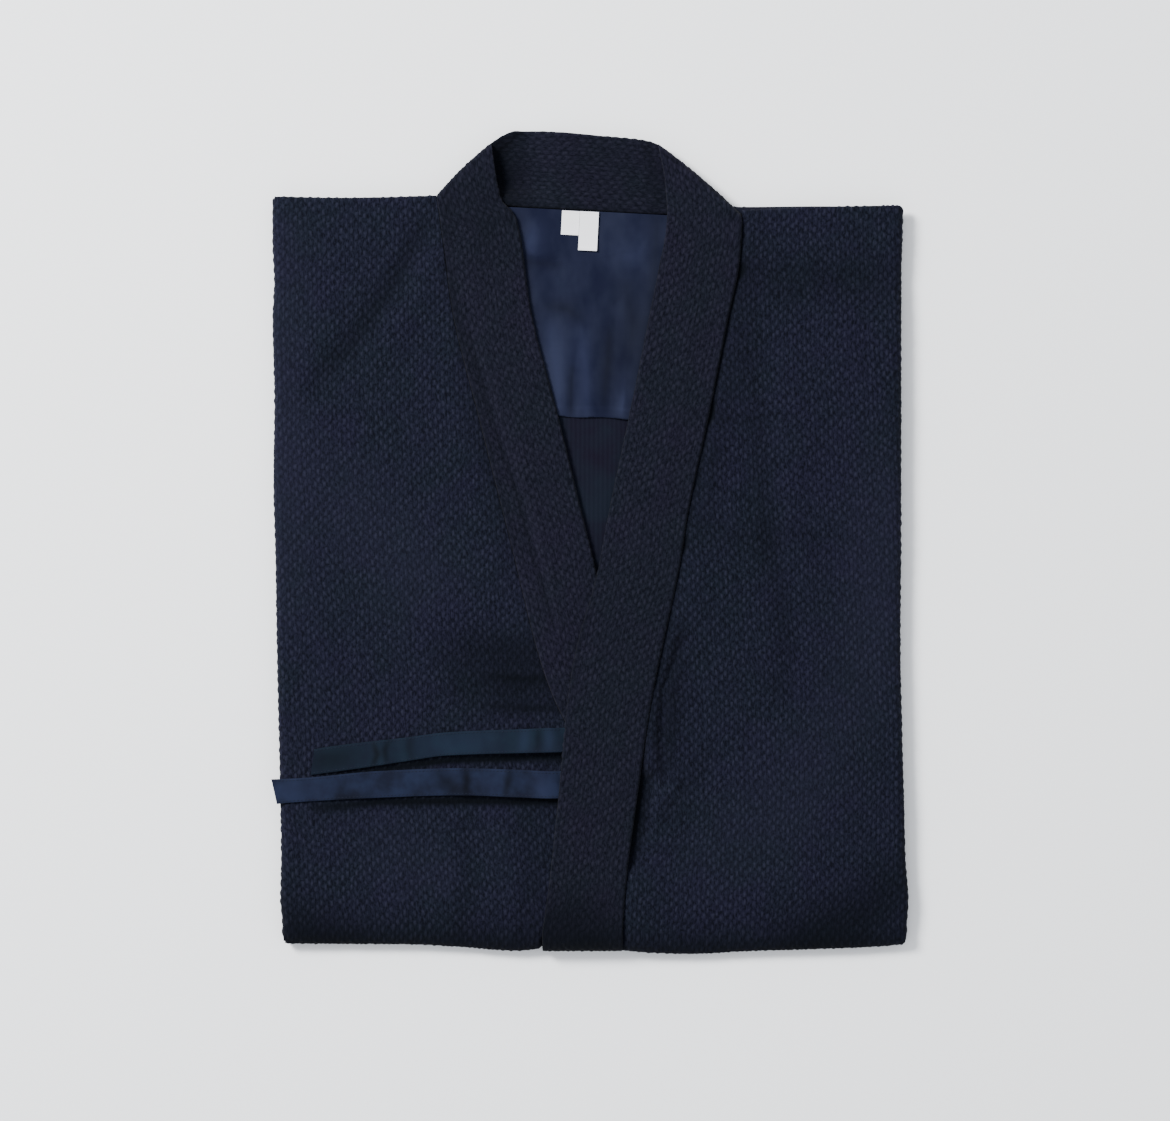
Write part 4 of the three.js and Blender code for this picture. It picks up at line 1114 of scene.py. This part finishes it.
def sew(name, lines, values):
    """Stitches along lines of points in millimetres, as one plain mesh; values are the tree's inputs."""
    points = np.concatenate(lines) + (*SHIFT, 0)
    ends = np.cumsum([len(line) for line in lines])
    edges = [(i, i + 1) for i in range(len(points) - 1) if i + 1 not in ends]
    guide = bpy.data.meshes.new(name + "_guide")
    guide.from_pydata((points * MM).tolist(), edges, [])
    holder = bpy.data.objects.new(name + "_guide", guide)
    bpy.context.scene.collection.objects.link(holder)
    modifier = holder.modifiers.new("Stitches", "NODES")
    modifier.node_group = stitch_tree()
    for item in modifier.node_group.interface.items_tree:
        if item.in_out == "INPUT" and item.name in values:
            modifier[item.identifier] = values[item.name]
    evaluated = holder.evaluated_get(bpy.context.evaluated_depsgraph_get())
    mesh = bpy.data.meshes.new_from_object(evaluated)
    mesh.name = name
    holder.modifiers.remove(modifier)
    bpy.data.objects.remove(holder)
    piece = bpy.data.objects.new(name, mesh)
    mesh.polygons.foreach_set("use_smooth", np.ones(len(mesh.polygons), dtype=bool))
    bpy.context.scene.collection.objects.link(piece)
    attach(piece, "root")


# ---- materials ----
# Darkest painted shade of the sashiko, in its creases, seams, hems and under the ties.
PAINTED_SHADE_INDIGO = linear("#04060b")
PALE_RIB = linear("#333848")
BLACK = (0, 0, 0, 1)
SHADE_AND_DYE_FULL = 1.3  # painted shade is deepest where a piece's dye attribute is minus this, and painted highlight with faded dye is palest at plus this
SHADE_AND_DYE_RANGE = (0.12, 1.9)  # darkest painted shade and palest painted highlight of the plain cottons, against their own colour
WAVE_MM = math.tau / 20  # Blender's wave texture repeats in this length at scale 1


def new_material(name, constants):
    """A material with its surface shader's constants set, and its node tree."""
    material = bpy.data.materials.new(name)
    material.use_nodes = True
    for socket, value in constants.items():
        material.node_tree.nodes["Principled BSDF"].inputs[socket].default_value = value
    return material, material.node_tree


def link_surface(tree, colour, strength=0.0, relief_mm=0.0, height=None):
    """Link a surface's colour and, where it has one, its fine relief."""
    shader = tree.nodes["Principled BSDF"]
    tree.links.new(colour, shader.inputs["Base Color"])
    if height:
        values = {"Strength": strength, "Distance": relief_mm * MM, "Height": height}
        tree.links.new(add(tree, "ShaderNodeBump", values)[0], shader.inputs["Normal"])


def lattice(tree, weave):
    """The rice-grain weave: above 0 on a grain's crown, below in the pits."""
    across, along, lively = add(tree, "ShaderNodeSeparateXYZ", {0: weave})
    across = add(tree, "ShaderNodeMath", {0: across, 1: math.pi / GRAIN_PITCH}, operation="MULTIPLY")[0]
    along = add(tree, "ShaderNodeMath", {0: along, 1: math.tau / GRAIN_LENGTH}, operation="MULTIPLY")[0]
    column = add(tree, "ShaderNodeMath", {0: across}, operation="COSINE")[0]
    row = add(tree, "ShaderNodeMath", {0: along}, operation="COSINE")[0]
    side = add(tree, "ShaderNodeMath", {0: column}, operation="SIGN")[0]
    staggered = add(tree, "ShaderNodeMath", {0: row, 1: side}, operation="MULTIPLY")[0]
    ends = {"Value": staggered, "From Min": GRAIN_ENDS[0], "From Max": GRAIN_ENDS[1]}
    length = add(tree, "ShaderNodeMapRange", ends, interpolation_type="SMOOTHSTEP")[0]
    column = add(tree, "ShaderNodeMath", {0: column}, operation="ABSOLUTE")[0]
    width = add(tree, "ShaderNodeMath", {0: column, 1: GRAIN_SHARPNESS}, operation="POWER")[0]
    crown = add(tree, "ShaderNodeMath", {0: width, 1: length}, operation="MULTIPLY")[0]
    lively = add(tree, "ShaderNodeMath", {0: lively, 1: 0.9, 2: 0.55}, operation="MULTIPLY_ADD")[0]
    shown = add(tree, "ShaderNodeMath", {0: crown, 1: lively}, operation="MULTIPLY")[0]
    return add(tree, "ShaderNodeMath", {0: shown, 1: GRAIN_MEAN}, operation="SUBTRACT")[0]


def yarn(tree, weave):
    """Twisted yarn on the grains, its twist 1.2 mm apart, drawn coarser than the real 0.5 mm so it shows."""
    stretched = add(tree, "ShaderNodeMapping", {"Vector": weave, "Scale": (1.0, 0.35, 1.0)})[0]
    twist = {"Vector": stretched, "Scale": 1.0, "Detail": 3.0, "Roughness": 0.6}
    return add(tree, "ShaderNodeTexNoise", twist)[0]


def blotched(tree, colour, other, spacing_mm, squeeze=(1.0, 1.0, 1.0)):
    """Two shades of indigo in soft patches a real spacing apart, longer where squeezed: an uneven dye."""
    place = add(tree, "ShaderNodeTexCoord")["Object"]
    place = add(tree, "ShaderNodeMapping", {"Vector": place, "Scale": squeeze})[0]
    patches = {"Vector": place, "Scale": 1000 / spacing_mm, "Detail": 3.0, "Roughness": 0.55}
    patch = add(tree, "ShaderNodeTexNoise", patches)[0]
    patch = add(tree, "ShaderNodeMapRange", {"Value": patch, "From Min": 0.35, "From Max": 0.65})[0]
    return add(tree, "ShaderNodeMix", {"Factor": patch, 6: colour, 7: other}, data_type="RGBA")[2]


def toned(tree, value, colour, *tones):
    """A colour that goes over to others as a value leaves 0; each tone is a colour and where it is full."""
    for other, full in tones:
        share = add(tree, "ShaderNodeMapRange", {"Value": value, "From Min": 0.0, "From Max": full})[0]
        colour = add(tree, "ShaderNodeMix", {"Factor": share, 6: colour, 7: other}, data_type="RGBA")[2]
    return colour


def shaded_and_dyed(tree, colour, painted_shade, lit_and_faded):
    """A colour darkened by painted shade, or lightened by painted highlight and faded dye, from a piece's dye
    attribute.
    """
    dye = add(tree, "ShaderNodeAttribute", attribute_name="dye")["Fac"]
    return toned(tree, dye, colour, (painted_shade, -SHADE_AND_DYE_FULL), (lit_and_faded, SHADE_AND_DYE_FULL))


def woven_indigo(name, pit_shade, ground, ground_other, crown, figure):
    """Indigo-dyed cotton woven in rice grains: matt, with a soft nap; the grain crowns are painted lighter as
    painted highlight, partly worn pale, and the pits between them darker as painted shade.

    figure is how strongly the grains show against the yarn's own unevenness.
    """
    constants = {"Roughness": 0.95, "Specular IOR Level": 0.04, "Sheen Weight": 0.03, "Sheen Roughness": 0.5}
    material, tree = new_material(name, constants)
    weave = add(tree, "ShaderNodeAttribute", attribute_name="weave")["Vector"]
    uneven = {0: yarn(tree, weave), 1: 3.2, 2: -1.6}
    uneven = add(tree, "ShaderNodeMath", uneven, operation="MULTIPLY_ADD")[0]
    woven = {0: lattice(tree, weave), 1: figure, 2: uneven}
    woven = add(tree, "ShaderNodeMath", woven, operation="MULTIPLY_ADD")[0]
    body = blotched(tree, ground, ground_other, 46)
    # painted highlight on the grain crowns, partly worn pale indigo, and painted shade in the pits between
    # them
    shade = toned(tree, woven, body, (crown, 1.3), (pit_shade, -0.6))
    link_surface(tree, shaded_and_dyed(tree, shade, PAINTED_SHADE_INDIGO, crown), 0.6, 0.3, woven)
    return material


def ribbed_indigo(name, ground, ground_other):
    """The inside of sashiko cotton: flat, finely ribbed along the warp."""
    constants = {"Roughness": 0.95, "Specular IOR Level": 0.04, "Sheen Weight": 0.02, "Sheen Roughness": 0.5}
    material, tree = new_material(name, constants)
    weave = add(tree, "ShaderNodeAttribute", attribute_name="weave")["Vector"]
    waves = {"Vector": weave, "Scale": WAVE_MM / GRAIN_PITCH, "Distortion": 0.6, "Detail": 2.0}
    ribs = add(tree, "ShaderNodeTexWave", waves, bands_direction="X")["Fac"]
    thread = yarn(tree, weave)
    shade = blotched(tree, ground, ground_other, 38)
    lighter = add(tree, "ShaderNodeMix", {"Factor": 0.07, 6: shade, 7: PALE_RIB}, data_type="RGBA")[2]
    amount = add(tree, "ShaderNodeMath", {0: ribs, 1: thread}, operation="MULTIPLY")[0]
    colour = add(tree, "ShaderNodeMix", {"Factor": amount, 6: shade, 7: lighter}, data_type="RGBA")[2]
    height = add(tree, "ShaderNodeMath", {0: ribs, 1: thread}, operation="ADD")[0]
    link_surface(tree, colour, 0.3, 0.2, height)
    return material


def plain_cotton(name, colour, colour_other, thread_mm, sheen, patch_mm=28, squeeze=(1.0, 1.0, 1.0)):
    """Plain-woven cotton: smooth, faintly lustrous, with crossed threads drawn at a millimetre scale."""
    constants = {"Roughness": 0.85, "Specular IOR Level": 0.08, "Sheen Weight": sheen, "Sheen Roughness": 0.4}
    material, tree = new_material(name, constants)
    weave = add(tree, "ShaderNodeAttribute", attribute_name="weave")["Vector"]
    waves = {"Vector": weave, "Scale": WAVE_MM / thread_mm, "Distortion": 1.5, "Detail": 2.0}
    warp, weft = (add(tree, "ShaderNodeTexWave", waves, bands_direction=way)["Fac"] for way in ("X", "Y"))
    cloth = add(tree, "ShaderNodeMath", {0: warp, 1: weft}, operation="MULTIPLY")[0]
    shade = blotched(tree, colour, colour_other, patch_mm, squeeze)
    darker = add(tree, "ShaderNodeMix", {"Factor": 0.25, 6: shade, 7: BLACK}, data_type="RGBA")[2]
    woven = add(tree, "ShaderNodeMix", {"Factor": cloth, 6: darker, 7: shade}, data_type="RGBA")[2]
    # colours of the painted shade and painted highlight on the plain cottons
    painted_shade, lit_and_faded = (scaled(colour_other, share) for share in SHADE_AND_DYE_RANGE)
    link_surface(tree, shaded_and_dyed(tree, woven, painted_shade, lit_and_faded), 0.35, 0.15, cloth)
    return material


def thread_cotton(name, colour):
    """Spun cotton sewing thread: matt, with a twist too fine to show."""
    material, tree = new_material(name, {"Roughness": 0.85, "Specular IOR Level": 0.15})
    place = add(tree, "ShaderNodeTexCoord")["Object"]
    twist = add(tree, "ShaderNodeTexNoise", {"Vector": place, "Scale": 1500.0})[0]
    shades = {"Factor": twist, 6: scaled(colour, 0.7), 7: colour}
    link_surface(tree, add(tree, "ShaderNodeMix", shades, data_type="RGBA")[2])
    return material


def matt_backdrop():
    """Seamless white studio paper: matt, with the faintest mottling of paper pulp."""
    material, tree = new_material("white_paper_backdrop", {"Roughness": 1.0, "Specular IOR Level": 0.0})
    place = add(tree, "ShaderNodeTexCoord")["Object"]
    pulp = add(tree, "ShaderNodeTexNoise", {"Vector": place, "Scale": 3.0, "Detail": 2.0})[0]
    shades = {"Factor": pulp, 6: linear("#f6f8fa"), 7: linear("#f8f9fa")}
    link_surface(tree, add(tree, "ShaderNodeMix", shades, data_type="RGBA")[2])
    return material


# ---- what a user may change ----
def colour_property(label, tells, hex_colour):
    return bpy.props.FloatVectorProperty(
        name=label, description=tells, default=linear(hex_colour), size=4, min=0, max=1, subtype="COLOR"
    )


def length_property(label, tells, usual_mm, least_mm, most_mm):
    values = {"default": usual_mm * MM, "min": least_mm * MM, "max": most_mm * MM}
    return bpy.props.FloatProperty(name=label, description=tells, unit="LENGTH", precision=4, **values)


class JacketColours(bpy.types.PropertyGroup):
    # pit_shade is painted shade in the pits between the grains; crown and collar_crown_highlight are painted
    # highlight on the grain crowns, partly worn pale indigo.
    pit_shade: colour_property("Pits", "Sashiko in the pits between its grains", "#06070f")
    ground: colour_property("Ground", "Sashiko's mean shade", "#121220")
    ground_other: colour_property("Ground, greener dye", "Sashiko where the dye leans to teal", "#0f131c")
    crown: colour_property("Grain", "Crowns of the rice grains", "#1e1f2c")
    collar_ground: colour_property("Collar", "Collar band's mean shade", "#12111d")
    collar_ground_other: colour_property("Collar, greener dye", "Collar where it leans to teal", "#0f121a")
    collar_crown_highlight: colour_property("Collar grain", "Crowns of the collar's grains", "#1c1c27")
    back: colour_property("Back", "Inside of the back", "#0e0c17")
    lining: colour_property("Lining", "Shoulder lining in its soft folds", "#0c1024")
    lining_other: colour_property("Lining, lighter", "Shoulder lining where it catches light", "#1c2032")
    tie_upper: colour_property("Upper tie", "Upper chest tie, its dye a little greener", "#101b27")
    tie_upper_shade: colour_property("Upper tie, darker", "Where the upper tie is worn less", "#0e1522")
    tie_lower: colour_property("Lower tie", "Lower chest tie", "#181f33")
    tie_lower_shade: colour_property("Lower tie, darker", "Where the lower tie is worn less", "#0f1322")
    label: colour_property("Label", "Woven label tape", "#fbfbff")
    thread: colour_property("Thread", "Sewing thread on the dark cloth", "#171b2a")


class JacketSizes(bpy.types.PropertyGroup):
    stitch_pitch: length_property("Stitch pitch", "From one stitch to the next", 3.4, 1, 10)
    stitch_length: length_property("Stitch length", "Length of a stitch that shows", 2.3, 0.5, 8)
    thread_thickness: length_property("Thread", "Thickness of the sewing thread", 0.5, 0.2, 1.5)


# ---- operators ----
def lay(cloth, name, material, node):
    """Dress a piece of cloth, and work out its flat size and area."""
    piece = dress(cloth.object(name), material, node)
    flat, area = cloth.cut()


def sashiko_material(colours):
    c = colours
    return woven_indigo("indigo_sashiko_cotton", c.pit_shade, c.ground, c.ground_other, c.crown, 0.8)


class JACKET_OT_hidden_layers(bpy.types.Operator):
    """Stack the sleeves and skirt that are folded behind"""

    bl_idname = "jacket.hidden_layers"
    bl_label = "Hidden layers"

    def execute(self, context):
        material = sashiko_material(context.scene.jacket_colours)
        piece = dress(folded_layers(), material, "folded_layers")
        return {"FINISHED"}


class JACKET_OT_back(bpy.types.Operator):
    """Lay the back inside up"""

    bl_idname = "jacket.back"
    bl_label = "Back"

    def execute(self, context):
        c = context.scene.jacket_colours
        material = ribbed_indigo("indigo_sashiko_inside", c.back, c.ground_other)
        lay(back(), "back_cloth", material, "back")
        return {"FINISHED"}


class JACKET_OT_lining(bpy.types.Operator):
    """Sew the lining across the shoulders"""

    bl_idname = "jacket.lining"
    bl_label = "Shoulder lining"

    def execute(self, context):
        c = context.scene.jacket_colours
        long_patches = (1.0, 0.6, 1.0)
        material = plain_cotton("indigo_lining_cotton", c.lining, c.lining_other, 1.1, 0.04, 36, long_patches)
        cloth = shoulder_lining()
        lay(cloth, "shoulder_lining_cloth", material, "shoulder_lining")
        return {"FINISHED"}


class JACKET_OT_fronts(bpy.types.Operator):
    """Fold the two fronts over, the left one on top"""

    bl_idname = "jacket.fronts"
    bl_label = "Fronts"

    def execute(self, context):
        material = sashiko_material(context.scene.jacket_colours)
        for name in FRONTS:
            lay(front(name), name + "_cloth", material, name)
        return {"FINISHED"}


class JACKET_OT_collar(bpy.types.Operator):
    """Lay the collar band behind the neck and down both fronts"""

    bl_idname = "jacket.collar"
    bl_label = "Collar"

    def execute(self, context):
        c = context.scene.jacket_colours
        shades = c.pit_shade, c.collar_ground, c.collar_ground_other, c.collar_crown_highlight
        material = woven_indigo("indigo_collar_sashiko", *shades, 0.72)
        for cloth in (
            BandStretch("collar_neck", NECK_BAND),
            BandStretch("collar_under", UNDER_BAND, turned_start=True),
            BandStretch("collar_over", OVER_BAND, turned_start=True, turned_end=True),
        ):
            lay(cloth, cloth.name + "_cloth", material, cloth.name)
        return {"FINISHED"}


class JACKET_OT_ties(bpy.types.Operator):
    """Lay the two chest ties across the right front"""

    bl_idname = "jacket.ties"
    bl_label = "Chest ties"

    def execute(self, context):
        c = context.scene.jacket_colours
        materials = {
            "tie_upper": plain_cotton("teal_tie_cotton", c.tie_upper, c.tie_upper_shade, 1.0, 0.03, 22),
            "tie_lower": plain_cotton("indigo_tie_cotton", c.tie_lower, c.tie_lower_shade, 1.0, 0.03, 22),
        }
        for name, tie in TIES.items():
            piece = dress(tie_object(name, tie), materials[name], name)
        return {"FINISHED"}


class JACKET_OT_labels(bpy.types.Operator):
    """Lay the two bare labels below the neck"""

    bl_idname = "jacket.labels"
    bl_label = "Labels"

    def execute(self, context):
        colour = context.scene.jacket_colours.label
        material = plain_cotton("white_label_tape", colour, colour, 0.9, 0.0)
        for name, label in LABELS.items():
            cloth = label_shell(label)
            lay(cloth, name + "_tape", material, name)
        return {"FINISHED"}


class JACKET_OT_sewing(bpy.types.Operator):
    """Stitch the ties along both edges"""

    bl_idname = "jacket.sewing"
    bl_label = "Sewing"

    def execute(self, context):
        sizes = context.scene.jacket_sizes
        values = {
            "Pitch": sizes.stitch_pitch,
            "Length": sizes.stitch_length,
            "Thickness": sizes.thread_thickness,
            "Thread": thread_cotton("indigo_sewing_thread", context.scene.jacket_colours.thread),
        }
        lines = []
        for tie in TIES.values():
            x = np.linspace(tie.rows["x"].max(), tie.rows["x"].min() + 3, 120)
            lines += [tie_place(tie, np.full_like(x, share), 0, x, -STITCH_PROUD) for share in STITCH_LINES]
        sew("tie_stitches", lines, values)
        return {"FINISHED"}


# ---- stage ----
VIEW_WIDTH_MM = 1070.6  # width of the view over the jacket
VIEW_CENTRE = (-4.1, -16.5)
CAMERA_HEIGHT = 4.0  # metres above the fronts
SENSOR_MM = 36
FLOOR_SIZE = 14
SKY_STRENGTH = 1.15
SOFTBOX_PLACE = (-3.0, 2.2, 3.2)
SOFTBOX_SIZE = 1.5
SOFTBOX_WATTS = 560


class JACKET_OT_stage(bpy.types.Operator):
    """Set the pale floor, the soft light and the camera straight above"""

    bl_idname = "jacket.stage"
    bl_label = "Stage"

    def execute(self, context):
        scene = context.scene
        bpy.ops.mesh.primitive_plane_add(size=FLOOR_SIZE)
        floor = context.object
        floor.name = "floor"
        floor.data.materials.append(matt_backdrop())

        world = bpy.data.worlds.new("Soft studio")
        world.use_nodes = True
        sky = world.node_tree.nodes["Background"]
        sky.inputs["Color"].default_value = linear("#f6f9ff")
        sky.inputs["Strength"].default_value = SKY_STRENGTH
        scene.world = world

        light = bpy.data.lights.new("key_softbox", "AREA")
        light.shape = "SQUARE"
        light.size = SOFTBOX_SIZE
        light.energy = SOFTBOX_WATTS
        softbox = bpy.data.objects.new("key_softbox", light)
        softbox.location = SOFTBOX_PLACE
        softbox.rotation_euler = (-Vector(SOFTBOX_PLACE)).to_track_quat("-Z", "Y").to_euler()

        camera = bpy.data.objects.new("overhead", bpy.data.cameras.new("overhead"))
        centre = [(c + s) * MM for c, s in zip(VIEW_CENTRE, SHIFT)]
        camera.location = (*centre, CAMERA_HEIGHT + PANEL_TOP * MM)
        camera.data.sensor_fit = "HORIZONTAL"
        camera.data.sensor_width = SENSOR_MM
        camera.data.lens = SENSOR_MM * CAMERA_HEIGHT / (VIEW_WIDTH_MM * MM)
        for item in (softbox, camera):
            scene.collection.objects.link(item)
        scene.camera = camera
        return {"FINISHED"}


class JACKET_PT_panel(bpy.types.Panel):
    """Pieces, sizes and colours of the folded jacket"""

    bl_idname = "JACKET_PT_panel"
    bl_label = "Folded kendo jacket"
    bl_space_type = "VIEW_3D"
    bl_region_type = "UI"
    bl_category = "Kendo Jacket"

    def draw(self, context):
        layout = self.layout
        for group in (context.scene.jacket_sizes, context.scene.jacket_colours):
            for key in group.bl_rna.properties.keys():
                if key not in ("rna_type", "name"):
                    layout.prop(group, key)
        for operator in OPERATORS:
            layout.operator(operator.bl_idname)


OPERATORS = (
    JACKET_OT_stage,
    JACKET_OT_hidden_layers,
    JACKET_OT_back,
    JACKET_OT_lining,
    JACKET_OT_fronts,
    JACKET_OT_collar,
    JACKET_OT_ties,
    JACKET_OT_labels,
    JACKET_OT_sewing,
)
CLASSES = (JacketColours, JacketSizes, *OPERATORS, JACKET_PT_panel)


def register():
    for cls in CLASSES:
        bpy.utils.register_class(cls)
    bpy.types.Scene.jacket_colours = bpy.props.PointerProperty(type=JacketColours)
    bpy.types.Scene.jacket_sizes = bpy.props.PointerProperty(type=JacketSizes)


def unregister():
    del bpy.types.Scene.jacket_sizes
    del bpy.types.Scene.jacket_colours
    for cls in reversed(CLASSES):
        bpy.utils.unregister_class(cls)


def main():
    register()
    for operator in OPERATORS:
        group, name = operator.bl_idname.split(".")
        getattr(getattr(bpy.ops, group), name)()


if __name__ == "__main__":
    main()
